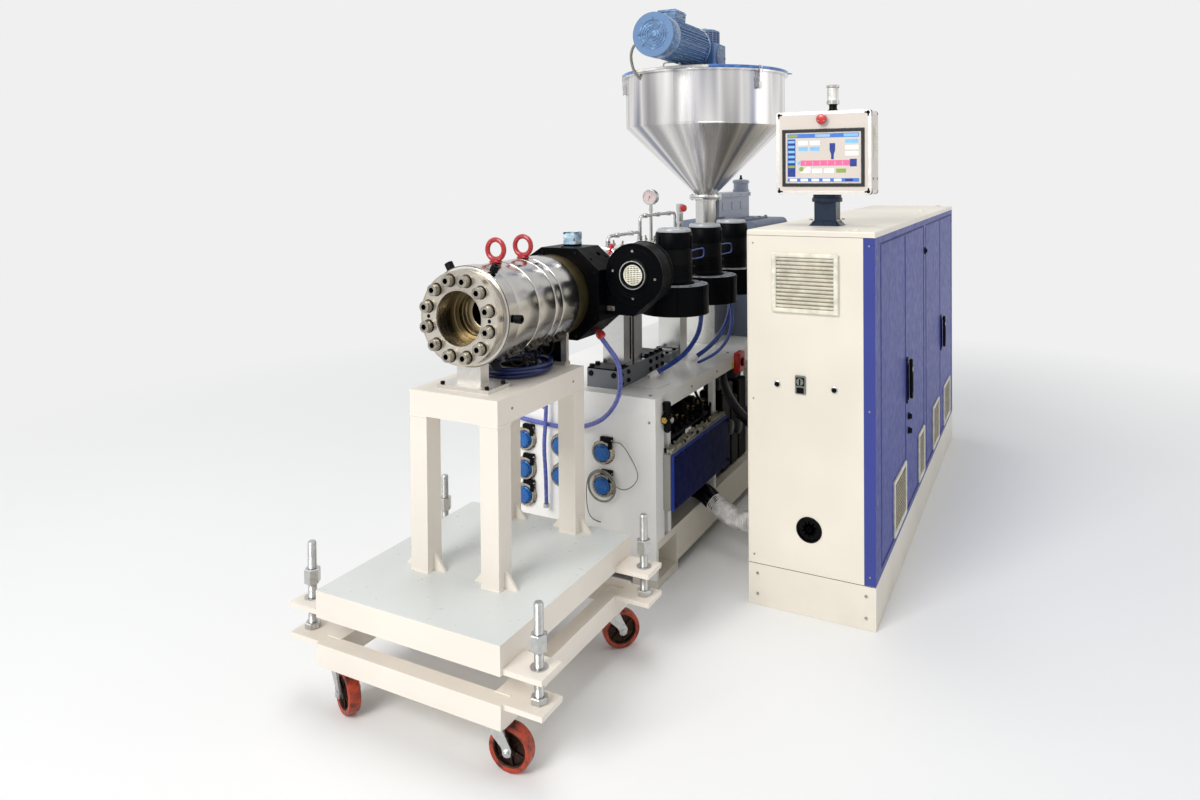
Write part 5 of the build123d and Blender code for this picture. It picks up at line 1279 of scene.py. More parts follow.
def buildDrive():
    # dark guards before the gearbox with their blue upper edges
    for side in (-1, 1):
        near, far = sorted((side * 118, side * 226))
        block((near, 2168, 731), (far, 2180, 930), 2)
        block((near, 2167, 930.5), (far, 2180, 965), 2, 1)
    finishPiece("driveGuard", ["black", "capBlue"])
    # gearbox: ribs, split line, covers and their bolts
    for side, x, flip in (("right", 230, 1), ("left", -230, -1)):
        where = facing(side, x, 2160, 729) @ Matrix.Scale(flip, 4, (1, 0, 0))
        for y in (70, 190, 310, 430):
            block((y - 7, 21, -1), (y + 7, 561, 10), 3, 0, where)
        addRows(bolt, side, x + 14 * flip, range(2200, 2700, 60), 1042, 19, 9, 1)
    for x in (-1, 1):
        block((x * 228, 2180, 1024), (x * 246, 2700, 1042), 4)
        block((x * 228, 2180, 1003), (x * 246, 2700, 1021), 4)
        block((x * 228, 2176, 729), (x * 262, 2704, 748), 4)
        addRows(bolt, "up", x * 248, (2210, 2440, 2670), 748, 22, 13, 1)
    plate(roundedOutline(300, 380, 24, 5, (0, 2440)), 9, facing("up", 0, 0, 1329), 2, 0)
    addRows(bolt, "up", (-136, 136), (2268, 2382, 2498, 2612), 1338, 15, 8, 1)
    lathe([(20, 0), (20, 8), (14, 10), (14, 26), (17, 28), (17, 40), (10, 44), (0, 45)],
          facing("up", -96, 2650, 1338), 24, 2)
    finishPiece("gearboxRibs", ["castGrey", "screwSteel", "blackPlastic"])

    # oil sight glass and breather on the gearbox
    for side, x in (("right", 230), ("left", -230)):
        where = facing(side, x, 2536, 900)
        lathe([(24, -1), (24, 6), (21, 8), (17, 8), (16, 5)], where, 32)
        lathe([(16.5, 5.2), (0, 5.4)], where, 32, 1)
    finishPiece("gearboxGlass", ["fittingBrass", "signalYellow"])

    # main motor: cooling ribs, cowl grille, feet
    for step in range(40):
        turn = 360 * step / 40
        if 225 < turn < 315:
            continue
        block((-172, -2.4, -3), (150, 2.4, 13), 1.2, 0, radial(turn, 3044, 183, z=960))
    motor = axial(0, z=960)
    lathe([(183, 2832), (198, 2834), (198, 2856), (184, 2860)], motor, 60)
    lathe([(184, 3196), (199, 3198), (199, 3256), (188, 3262), (60, 3262.6), (58, 3259)], motor, 60)
    for ring in range(6):
        radius = 66 + ring * 20
        lathe([(radius, 3260), (radius, 3263.4), (radius + 8, 3263.4), (radius + 8, 3260)], motor, 48, 1)
    # matte black disc behind the cowl grille: painted shade
    lathe([(60, 3259), (0, 3259)], motor, 32, 2)
    for turn in range(0, 360, 60):
        block((-3, 56, 0), (3, 188, 4.6), 1, 0, facing("back", 0, 3260, 960) @ spin(turn))
    for x in (-150, 150):
        for y in (2890, 3190):
            bolt(facing("up", x, y, 752), 24, 14, 3)
            block((x - 26, y - 34, 730), (x + 26, y + 34, 753), 4)
    finishPiece("motorRibs", ["motorBlue", "blackPlastic", "darkInside", "screwSteel"])


# Hopper: seams, rim, latches, fittings
def buildHopper():
    up = facing("up", 0, feed["hopperY"], 0)
    lathe([(404.8, 1818), (406.6, 1820), (406.6, 1826), (405, 1828)], up, 128)
    for turn in (28, 208):  # weld seams down the cylinder and the cone
        block((-1.6, 1830, 0), (1.6, 2068, 1.6), 0.6, 0, spoke(turn, 0, feed["hopperY"], 0, 405))
        a, y = radians(turn), feed["hopperY"]
        seam = [(52.5 * cos(a), y + 52.5 * sin(a), 1478), (405 * cos(a), y + 405 * sin(a), 1820)]
        tube(seam, 1.6, ground, 6)
    lathe([(405, 2070), (420.4, 2070.6), (420.8, 2074), (420.4, 2079), (418, 2079.4)], up, 128)
    finishPiece("hopperSeams", ["hopperSteel"])

    # toggle latches: base, lever, bail and hook
    for turn in (-150, -30, 90):
        where = spoke(turn, 0, feed["hopperY"], 0, 405)
        plate(roundedOutline(34, 60, 3, 3, (0, 2016)), 3, where, 0.6)
        block((-11, 1992, 3), (-8, 2040, 18), 0.8, 0, where)
        block((8, 1992, 3), (11, 2040, 18), 0.8, 0, where)
        tube([(-13, 2034, 13), (13, 2034, 13)], 3, where, 10)
        plate(roundedOutline(18, 52, 3, 3, (0, 2012)), 3, where @ shift(0, 0, 16), 0.8)
        for x in (-7, 7):
            tube([(x, 2030, 15), (x, 2060, 21), (x, 2086, 22)], 1.8, where, 8)
        tube(bentPath([(-7, 2086, 22), (-7, 2094, 21), (7, 2094, 21), (7, 2086, 22)], 3), 1.8, where, 8)
        block((-10, 2078, 13), (10, 2096, 17), 1, 0, where)
        for y in (1994, 2036):
            for x in (-13.5, 13.5):
                lathe([(2.6, 3), (2.6, 4.4), (0, 5)], where @ shift(x, y, 0), 10)
    finishPiece("hopperLatches", ["zinc"])

    # lid: cream leaf in front, film on the rest, hinges and handle
    lathe([(100, 2093.4), (418, 2093.4), (421, 2092), (421, 2081), (419, 2080)], up, 40, 0, start=-125,
          sweep=59)
    lathe([(419.8, 2079.6), (422.4, 2082), (422.4, 2092), (418, 2094.4), (409, 2095)], up, 100, 1,
          start=-66, sweep=301)
    # matte black lines at the leaf's edges: painted shade in the gaps
    for turn in (-125, -66):
        block((100, -1.5, 0), (418, 1.5, 1.6), 0.5, 2, up @ shift(0, 0, 2093) @ spin(turn))
    handle = up @ spin(-95)
    tube(bentPath([(356, -44, 2094), (356, -44, 2120), (356, 44, 2120), (356, 44, 2094)], 12), 4.5, handle,
         10, 3)
    for turn in (-118, -74):
        block((138, -16, 2093), (206, 16, 2098), 1, 3, up @ spin(turn))
    finishPiece("lidLeaves", ["creamPlastic", "lidFilm", "darkInside", "zinc"])
    # torn corner of the film at the rim
    tip = [(410, -26, 2094), (410, 30, 2094.4), (446, 4, 2090), (412, -24, 2088), (412, 28, 2088),
           (440, 4, 2086)]
    where = up @ spin(21)
    addFaces(tip, [(0, 2, 1), (3, 4, 5), (0, 3, 5, 2), (1, 2, 5, 4), (0, 1, 4, 3)], where, 0)
    finishPiece("filmCorner", ["lidFilm"])


# Stirrer drive: motor with its fan cowl, terminal box and the finned gear unit
stirrer = {"z": 2212}


def buildStirrer():
    z = stirrer["z"]
    motor = axial(0, z=z)
    lathe([(64, 1402), (92, 1400.4), (98, 1403), (101, 1410), (101, 1484), (98.5, 1492)], motor, 64)
    for ring in range(5):  # concentric grille on the cowl
        radius = 14 + ring * 12
        lathe([(radius, 1402), (radius, 1397.6), (radius + 5, 1397.6), (radius + 5, 1402)], motor, 48)
    for turn in range(0, 360, 45):
        block((-2, 10, 0), (2, 78, 4), 0.8, 0, facing("front", 0, 1402.4, z) @ spin(turn))
    lathe([(16, 1398), (0, 1396.6)], motor, 32)
    # matte black disc behind the cowl grille: painted shade
    lathe([(66, 1403.5), (0, 1403.5)], motor, 32, 1)
    for step in range(36):  # cooling fins
        turn = 360 * step / 36 + 5
        block((-176, -1.8, 0), (168, 1.8, 10.5), 0.8, 0, radial(turn, 1676, 88, z=z))
    lathe([(89, 1848), (99, 1850), (99, 1862), (60, 1866)], motor, 56)
    for turn in (45, 135, 225, 315):
        bolt(radial(turn, 1855, 97, z=z), 12, 6, 2)
    block((-47, 1548, z + 90), (47, 1672, z + 134.6), 4)
    block((-50, 1545, z + 122), (50, 1675, z + 128), 2)
    for side, x in (("right", 50), ("left", -50)):
        addRows(screw, side, x, (1566, 1654), z + 112, 4, 3, 2, steps=14)
    finishPiece("stirrerMotorTrim", ["motorFilm", "darkInside", "screwSteel"])

    # gear unit: bosses, fins, filler plug and feet
    for side, x, y in (("right", 85, 2030), ("left", -85, 2030), ("back", 0, 2115)):
        where = facing(side, x, y, 2176)
        lathe([(58, -1), (58, 5), (54, 7), (0, 7)], where, 40)
        for turn in range(0, 360, 60):
            a = radians(turn)
            bolt(where @ shift(47 * cos(a), 47 * sin(a), 6), 10, 5, 1)
    up = facing("up", 0, feed["hopperY"], 0)
    for ring in range(6):
        low = 2246 + ring * 11
        lathe([(64, low), (77, low + 1), (77, low + 4), (64, low + 5)], up, 56)
    for step in range(20):
        a = 360 * step / 20
        block((-2, 2244, -2), (2, 2312, 9), 0.8, 0, spoke(a, 0, feed["hopperY"], 0, 68))
    lathe([(66, 2312), (60, 2318), (26, 2321), (0, 2321)], up, 48)
    lathe([(12, 2320), (12, 2328), (8, 2331), (0, 2331)], up, 20, 1)
    block((-118, 1936, 2093.4), (118, 2124, 2104), 3)
    addRows(bolt, "up", (-104, 104), (1952, 2108), 2104, 18, 9, 1)
    lathe([(9, 0), (9, 8), (6, 10), (0, 10)], facing("front", 30, 1945, 2120), 18, 1)
    finishPiece("stirrerGearTrim", ["gearLavender", "screwSteel"])


buildFeed()
buildDrive()
buildHopper()
buildStirrer()
print("stage: feed and hopper dressed")

# Machine base: deck trims, front sockets with their caps and wires
base = {
    "left": -436, "right": 261, "front": 843, "rear": 3343,
    "sockets": ((-323, 504), (-323, 383), (-323, 276), (-152, 500), (-152, 379), (38, 500), (38, 371)),
}


def buildSockets():
    # rings, clamps and hinge blocks
    for x, z in base["sockets"]:
        where = facing("front", x, base["front"], z)
        lathe([(49, 0), (49, 2.6), (46.2, 4), (45.6, 8), (46.6, 9), (46.6, 12), (45.6, 13), (45.6, 16),
               (43, 18.6), (37, 18.6), (36, 16), (36, 5), (0, 5)], where, 48)
        for turn in (38, 142, 218, 322):
            a = radians(turn)
            screw(where @ shift(46.4 * cos(a), 46.4 * sin(a), 3), 3.4, 3, 1, steps=12)
        block((-10, 40, 0), (42, 62, 16.4), 2.4, 1, where)
        tube([(-12, 51, 13), (44, 51, 13)], 3, where, 10, 0)
        block((28, 18, 12), (44, 42, 24), 2.4, 1, where)
    finishPiece("socketRings", ["screwSteel", "blackPlastic"], "utility_sockets")

    # blue ribbed plug caps
    for x, z in base["sockets"]:
        where = facing("front", x, base["front"], z)
        lathe([(33, 6), (33, 20), (30, 22), (28, 24), (28, 28), (25, 31.6), (18, 32.8), (0, 32.2)], where, 40)
        for step in range(12):
            turn = spin(30 * step)
            block((24, -3, 20), (30, 3, 31), 1.2, 0, where @ turn)
        block((-20, -2.4, 31), (20, 2.4, 33.4), 1, 0, where)
    finishPiece("socketCaps", ["capBlue"])

    # glands where the blue hoses enter the front
    for x, y, z, side in ((-384, 829, 592, "left"), (-206, 812, 706, "up"), (-212, 815, 246, "down")):
        where = facing(side, x + (16 if side == "left" else 0), y,
                       z - (16 if side == "up" else -16 if side == "down" else 0))
        plate(polygonOutline(6, 24), 11, where @ shift(0, 0, 4), 1.2, 0)
        lathe([(11, 0), (11, 4), (9.4, 4)], where, 20)
    finishPiece("hoseGlands", ["zinc"])


def buildBaseTrims():
    # folded edges, seams, panel screws and the loose plate on the deck
    plate([(104, 1015), (204, 969), (214, 1095), (103, 1141)], 6, facing("up", 0, 0, 729), 1.2)
    left, right, front, rear = base["left"], base["right"], base["front"], base["rear"]
    block((left + 2, front - 0.8, 664), (right - 2, front + 4, 668.6), 0.8)
    addRows(screw, "front", (left + 24, -240, -56, right - 26), front, (74, 638), 5, 3, 1, steps=14)
    for y in range(int(front) + 60, int(rear), 295):
        screw(facing("right", right, y, 699), 5, 3, 1, steps=14)
        screw(facing("left", left, y, 699), 5, 3, 1, steps=14)
    addRows(screw, "up", (left + 40, -88, right - 40), (front + 40, front + 900, front + 1700, rear - 40),
            729, 7, 4, 1, steps=18)
    # feet: anchor bolts
    addRows(bolt, "up", (left + 50, right - 50), (853 + 110, 2130, 3200), 32, 22, 12, 1)
    finishPiece("baseTrims", ["deck", "screwSteel"])

    # screws and air ribs on the covers of the closed bays
    for side, x, low, high in (("left", left + 4, 920, 2023), ("right", right - 4, 2090, 3266)):
        where = facing(side, x, (low + high) / 2, 424)
        for dx in (-0.47, 0, 0.47):
            for dz in (-228, 228):
                screw(where @ shift(dx * (high - low), dz, 0), 6, 3, 1, steps=14)
        for row in range(9):
            block((-120, -150 + row * 16, -0.6), (120, -143 + row * 16, 2.4), 1.4, 0, where)
    finishPiece("coverScrews", ["deck", "screwSteel"])


# Valve panel: its silver body, connectors and knobs, and the air parts behind it
panel = {"low": 286, "high": 500, "front": 909, "rear": 1525, "left": 261, "middle": 291, "right": 305}


def buildValvePanel():
    f, r, low, high = panel["front"], panel["rear"], panel["low"], panel["high"]
    left, middle, right = panel["left"] - 0.2, panel["middle"], panel["right"] + 0.4
    block((left, f, low), (middle, r, high), 0.8)
    block((middle, f + 6, low), (right - 0.8, r - 6, high - 3), 0.6, 1)
    plate(roundedOutline(r - f - 15, high - low - 8, 2, 3), 1.4, facing("right", right - 1.2, (f + r) / 2,
            (low + high) / 2 - 1), 0.5, 2)
    for y in (970.6, 1463.4):  # the struts that carry it
        block((235, y - 13, 180.2), (261, y + 13, 668.8), 1, 4)
    for y in (f + 16, r - 16):
        for z in (low + 20, high - 18):
            where = facing("right", right, y, z)
            lathe([(8, -2), (8, 6), (6.4, 9), (0, 9.4)], where, 20, 3)
    addRows(screw, "right", right, range(int(f) + 70, int(r) - 40, 120), (low + 10, high - 10), 2.6, 1.6,
            3, steps=12)
    finishPiece("panelShell", ["panelGrey", "panelEdge", "navy", "blackPlastic", "deck"], "valve_panel")

    # connectors along the top, in close rows
    random.seed(11)
    for row, x in enumerate((264.8, 275.4, 286)):
        for step in range(39):
            y = f + 12 + step * 15.4 + row * 3
            tall = random.uniform(13, 20) if row else random.uniform(18, 28)
            up = facing("up", x, y, high)
            plate(polygonOutline(6, 9.6, random.uniform(0, 1)), 5, up, 0.6, 1)
            lathe([(4.4, 5), (4.4, tall * 0.5), (5.4, tall * 0.5), (5.4, tall - 2), (4, tall), (0, tall)],
                  up, 10, 0 if random.random() < 0.86 else 2)
    finishPiece("panelConnectors", ["connector", "zinc", "blackPlastic"])

    # valve islands, filters and pumps on the bay's shelf
    random.seed(5)
    block((96, 925, 512), (232, 1500, 520), 2, 1)
    block((96, 925, 180), (104, 940, 512), 1, 1)
    block((96, 1485, 180), (104, 1500, 512), 1, 1)
    for number in range(9):
        y = 946 + number * 58
        tall = (92, 70, 104, 84, 60, 96, 74, 88, 66)[number]
        block((126, y, 520), (214, y + 46, 520 + tall * 0.6), 3)
        block((140, y + 6, 520 + tall * 0.6), (200, y + 40, 520 + tall), 5)
        lathe([(13, 0), (13, 26), (10, 29), (0, 30)], facing("right", 214, y + 23, 546), 20, 0)
        plate(polygonOutline(6, 17), 8, facing("right", 214, y + 23, 522 + tall * 0.72), 1, 2)
        lathe([(5, 8), (5, 20), (6.5, 21), (6.5, 27), (0, 27)],
              facing("right", 214, y + 23, 522 + tall * 0.72), 14, 0)
    # pumps behind the panel
    for y, tall, wide in ((1545, 300, 90), (1650, 380, 110), (1770, 330, 100), (1880, 390, 110)):
        block((110, y, 180), (226, y + wide, 180 + tall), 8)
        block((126, y + 12, 180 + tall), (206, y + wide - 12, 240 + tall), 6, 1)
        lathe([(34, 0), (34, 26), (28, 30), (0, 31)],
              facing("right", 226, y + wide / 2, 180 + tall * 0.55), 28, 1)
    for y in (1010, 1240, 1430):
        up = facing("up", 70, y, 180)
        lathe([(46, 0), (46, 240), (40, 248), (30, 252), (30, 262), (0, 264)], up, 36)
        plate(polygonOutline(6, 34), 16, facing("up", 70, y, 444), 2, 2)
    finishPiece("valveBlocks", ["blackPlastic", "darkGrey", "fittingBrass"])

    # glands where the machine's cables leave the bay
    lathe([(30, -1), (30, 8), (24, 12), (20.5, 12)], facing("left", 602, 1110, 574), 32)
    place = facing("right", 98, 1320, 240)
    lathe([(47, -2), (47, 10), (44, 13), (0, 13)], place, 32)
    finishPiece("conduitGland", ["blackPlastic"])


# Air regulator and isolator, in place of their plain solids
def buildSideFittings():
    x, y = 278, 913
    block((261.2, y - 17, 621), (295, y + 17, 655), 2.5, 1)
    lathe([(13, 0), (13, 7), (11, 8)], facing("left", 262.5, y, 638), 24, 0)
    up = facing("up", x, y, 655)
    lathe([(16, 0), (16, 5), (14, 6), (14, 12), (15, 13), (15, 46), (13, 51), (0, 52)], up, 32, 1)
    for step in range(16):
        turn = Matrix.Rotation(2 * pi * step / 16, 4, "Z")
        block((14, -1.1, 15), (15.8, 1.1, 44), 0.5, 1, up @ turn)
    down = facing("down", x, y, 621)
    lathe([(15, 0), (15, 6), (13, 7), (13, 26), (9, 32), (4, 34), (0, 34)], down, 28, 1)
    gauge = facing("right", 295, y, 638)
    lathe([(6, -4), (6, 2), (11.6, 2), (11.6, 6), (10, 6.4), (9.6, 5.4)], gauge, 28, 2)
    lathe([(9.8, 5.3), (0, 5.3)], gauge, 28, 3)
    tube([(0, 0, 5.8), (-4, 5, 5.8)], 0.6, gauge, 5, 1)
    addRows(screw, "front", x, y - 17, (630, 646), 3, 2, 2, steps=12)
    plate(polygonOutline(6, 22), 10, facing("front", 276, y - 17, 640), 1, 0)
    finishPiece("airRegulator", ["fittingBrass", "blackPlastic", "screwSteel", "dial"])

    # isolator: a red box with its lever, and the small label before it
    side = facing("right", 261.2, 1757, 690)
    plate(roundedOutline(82, 96, 5, 4), 24, side, 1.5, 0)
    plate(roundedOutline(70, 84, 4, 4), 5, side @ shift(0, 0, 23.5), 1, 0)
    lathe([(20, 28), (20, 31), (17, 33), (0, 33)], side, 32, 3)
    block((-6, -16, 32), (6, 24, 39.4), 2, 0, side)
    plate(roundedOutline(24, 44, 1.5, 3, (-58, 0)), 1.2, side, 0.3, 1)
    plate(roundedOutline(18, 16, 1, 3, (-58, 12)), 1.6, side, 0.2, 2)
    for dx in (-34, 34):
        for dy in (-42, 42):
            screw(side @ shift(dx, dy, 24), 3, 1.8, 3, steps=12)
    finishPiece("mainIsolator", ["signalRed", "signalYellow", "creamPlastic", "blackPlastic"])
    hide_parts("side_fittings")


buildSockets()
buildBaseTrims()
buildValvePanel()
buildSideFittings()
print("stage: base dressed")

# Control cabinet: front trims, grille, switch, buttons, cable entry
cabinet = {
    "left": 602, "right": 1059, "front": 917,
    "grille": (816, 1191), "grilleSize": (240, 214), "switch": (799, 828),
    "buttons": ((714, 822), (919, 822)), "cable": (827, 312),
    "doors": ((1025, 1562), (1568, 2105), (2185, 2722), (2728, 3265)),
    "vents": ((1262, 1546), (1910, 2088), (2404, 2640), (2860, 3150)),
}


def buildCabinetFront():
    left, right, front = cabinet["left"], cabinet["right"], cabinet["front"]
    block((left + 1, front - 0.5, 152.4), (right - 1, front + 2, 154.4), 0.4, 1)  # seams, their dark lines painted shade in the gaps
    block((left + 1, front - 0.5, 1357), (right - 1, front + 2, 1358.4), 0.4, 1)
    block((left + 1.5, front - 1.2, 160), (left + 5, front + 1, 1352), 0.8)
    addRows(screw, "front", (left + 34, right - 34), front, (42, 118), 5.5, 3, 2, steps=14)
    addRows(screw, "front", (left + 22, right - 20), front, (186, 760, 1330), 3.4, 2, 2, steps=12)
    lathe([(46, -0.5), (46, 3), (43.6, 5), (41, 5), (40, 3), (40, -18), (43, -20)],
          facing("front", cabinet["cable"][0], front, cabinet["cable"][1]), 48, 3)
    for step in range(10):  # split rubber of the cable entry
        a = 36 * step
        where = facing("front", cabinet["cable"][0], front, cabinet["cable"][1]) @ spin(a)
        block((8, -11, -6), (42, 11, -4), 0.8, 3, where)
    finishPiece("frontTrims", ["cream", "darkInside", "screwSteel", "blackPlastic"])

    # grille: framed blades over a filter mat
    x, z = cabinet["grille"]
    wide, tall = cabinet["grilleSize"]
    where = facing("front", x, front, z)
    innerWide, innerTall = wide - 34, tall - 32
    for low, high in (((-wide / 2, tall / 2 - 16), (wide / 2, tall / 2)),
                      ((-wide / 2, -tall / 2), (wide / 2, -tall / 2 + 16)),
                      ((-wide / 2, -tall / 2 + 12), (-wide / 2 + 17, tall / 2 - 12)),
                      ((wide / 2 - 17, -tall / 2 + 12), (wide / 2, tall / 2 - 12))):
        block((*low, 0), (*high, 13), 3.5, 0, where)
    block((-innerWide / 2, -innerTall / 2, 0.4), (innerWide / 2, innerTall / 2, 1.4), 0.4, 1, where)
    count = 13
    for row in range(count):
        y = -innerTall / 2 + innerTall * (row + 0.5) / count
        blade = where @ shift(0, y, 6) @ Matrix.Rotation(radians(34), 4, "X")
        block((-innerWide / 2, -5.4, -1.2), (innerWide / 2, 5.4, 1.2), 0.8, 0, blade)
    finishPiece("frontGrille", ["creamPlastic", "filterMat"], "louvre_grille")


# Switch, buttons and the stop button, in place of their plain solids
def buildControls():
    front = cabinet["front"]
    x, z = cabinet["switch"]
    where = facing("front", x, front, z)
    plate(roundedOutline(38, 66, 4, 4), 7, where, 1.2, 0)
    plate(roundedOutline(30, 30, 3, 4, (0, 12)), 4, where @ shift(0, 0, 6.6), 1, 1)
    lathe([(13, 10), (13, 12), (11.5, 13), (0, 13)], where @ shift(0, 12, 0), 28, 0)
    block((-2.6, 1, 12.6), (2.6, 23, 14), 0.8, 1, where)
    plate(roundedOutline(26, 20, 2, 3, (0, -19)), 2.6, where @ shift(0, 0, 6.6), 0.5, 1)
    for spot, height in cabinet["buttons"]:
        button = facing("front", spot, front, height)
        lathe([(11.6, 0), (11.6, 2.6), (9, 4), (8.4, 3)], button, 28, 3)
        lathe([(8.4, 2), (8, 9), (6.6, 10), (0, 10.2)], button, 28, 1)
    stop = facing("front", 814, 1190, 1788)
    lathe([(21, 0), (21, 3), (19, 5), (14, 6), (12.6, 6), (12.6, 14)], stop, 36, 3)
    lathe([(12, 11), (19, 12.6), (20, 15), (20, 20), (17, 24.4), (9, 26), (0, 26.4)], stop, 40, 2)
    for turn in (90, 210, 330):
        arrow = stop @ spin(turn)
        block((9, -1.6, 24), (15, 1.6, 25.8), 0.6, 3, arrow)
    finishPiece("cabinetControls", ["greyPlastic", "blackPlastic", "signalRed", "zinc"],
                "operator_controls")


# Doors: louvred vents, hinge caps, handle plates, keys
def buildDoors():
    face = cabinet["right"]
    for number, ((low, high), (ventLow, ventHigh)) in enumerate(zip(cabinet["doors"], cabinet["vents"]),
            start=1):
        middle, wide = (ventLow + ventHigh) / 2, ventHigh - ventLow
        where = facing("right", face, middle, 297)
        tall = 214
        for box in (((-wide / 2, tall / 2 - 12), (wide / 2, tall / 2)),
                    ((-wide / 2, -tall / 2), (wide / 2, -tall / 2 + 12)),
                    ((-wide / 2, -tall / 2 + 8), (-wide / 2 + 12, tall / 2 - 8)),
                    ((wide / 2 - 12, -tall / 2 + 8), (wide / 2, tall / 2 - 8))):
            block((*box[0], -0.4), (*box[1], 8.6), 2.4, 0, where)
        block((-wide / 2 + 10, -tall / 2 + 10, -0.2), (wide / 2 - 10, tall / 2 - 10, 0.8), 0.4, 1, where)
        rows = 13
        for row in range(rows):
            y = -(tall - 26) / 2 + (tall - 26) * (row + 0.5) / rows
            blade = where @ shift(0, y, 4.4) @ Matrix.Rotation(radians(36), 4, "X")
            block((-wide / 2 + 9, -4.8, -0.9), (wide / 2 - 9, 4.8, 0.9), 0.6, 0, blade)
        finishPiece("doorVent%d" % number, ["creamPlastic", "filterMat"], body="door_%d" % number)
        # folded lip round the door
        for box in (((face - 1, low + 5, 190), (face + 0.7, high - 5, 193)),
                    ((face - 1, low + 5, 1320), (face + 0.7, high - 5, 1323)),
                    ((face - 1, low + 5, 190), (face + 0.7, low + 8, 1323)),
                    ((face - 1, high - 8, 190), (face + 0.7, high - 5, 1323))):
            block(*box, 0.3)
        if number in (2, 4):
            y = low + 34
            backing = facing("right", face, y, 720)
            plate(roundedOutline(41, 191, 10, 5), 5.6, backing, 1.4, 1)
            # matte black well of the handle plate, under the lever: painted shade
            plate(roundedOutline(27, 150, 9, 5, (0, -8)), 1.6, backing @ shift(0, 0, 5), 0.6, 2)
            for dy in (-86, 86):
                screw(backing @ shift(0, dy, 5.4), 4, 2, 3, steps=14)
            lathe([(7, 5), (7, 10.6)], facing("right", face, y, 796), 20, 3)
            lathe([(6.2, 24), (6.2, 24.8), (4, 25), (0, 25)], facing("right", face, y, 796), 20, 3)
        if number == 2:
            for dz in (560, 500):  # key locks below the handle
                key = facing("right", face, low + 74, dz)
                lathe([(15, 0), (15, 4), (12, 6), (12, 10), (0, 11)], key, 28, 1)
                block((-2, -10, 10), (2, 10, 14.6), 1, 1, key)
        finishPiece("doorTrim%d" % number, ["royalBlue", "blackPlastic", "darkInside", "screwSteel"],
                    body="door_%d" % number)
    for number in (2, 4):  # swing levers with a thumb grip and key cap
        y = cabinet["doors"][number - 1][0] + 34
        lever = facing("right", 1070.2, y, 796)
        outline = [(11, 0), (12.4, -20), (12.4, -120), (9, -142), (4, -150), (-4, -150), (-9, -142),
                   (-12.4, -120), (-12.4, -20), (-11, 0), (-15, 2), (-11, 11), (0, 15), (11, 11), (15, 2)]
        plate(outline, 13.4, lever, 3, 0)
        plate(roundedOutline(15, 84, 7, 5, (0, -84)), 0.5, lever @ shift(0, 0, 13), 0.2, 1)
        lathe([(9, 13), (9, 13.4), (7, 13.7), (0, 13.7)], lever @ shift(0, -28, 0), 24, 2)
        finishPiece("swingLever%d" % number, ["blackPlastic", "darkInside", "zinc"],
                    "door_handle_%d" % number, body="handle_%d" % number)
    # light gap lines on the frame between the doors, and roof lip
    for y in (1018, 2181, 3269):
        block((1058.6, y - 1, 184), (1059.6, y + 1, 1328), 0.3)
    block((1058.4, 920, 1330), (1059.6, 3314, 1332), 0.3)
    addRows(screw, "right", 1059, (937, 2137, 3297), (440, 760, 1290), 4, 2.4, 1, steps=12)
    lathe([(16, 0), (16, 5), (13, 7), (9, 7), (9, 12), (0, 13)], facing("right", 1059, 2145, 1212), 24, 2)
    for y in (960, 2600, 3280):
        lathe([(20, 0), (20, 4), (15, 6), (0, 6)], facing("up", 980, y, 1378), 28, 3)
    finishPiece("frameTrim", ["royalBlue", "screwSteel", "blackPlastic", "creamPlastic"])


# Operator panel: frame edges, corner caps, bezel, process picture, louvre, lamp
hmi = {"left": 632, "right": 996, "front": 1190, "rear": 1330, "low": 1500, "high": 1820, "screenZ": 1641,
       "screen": (300, 204)}


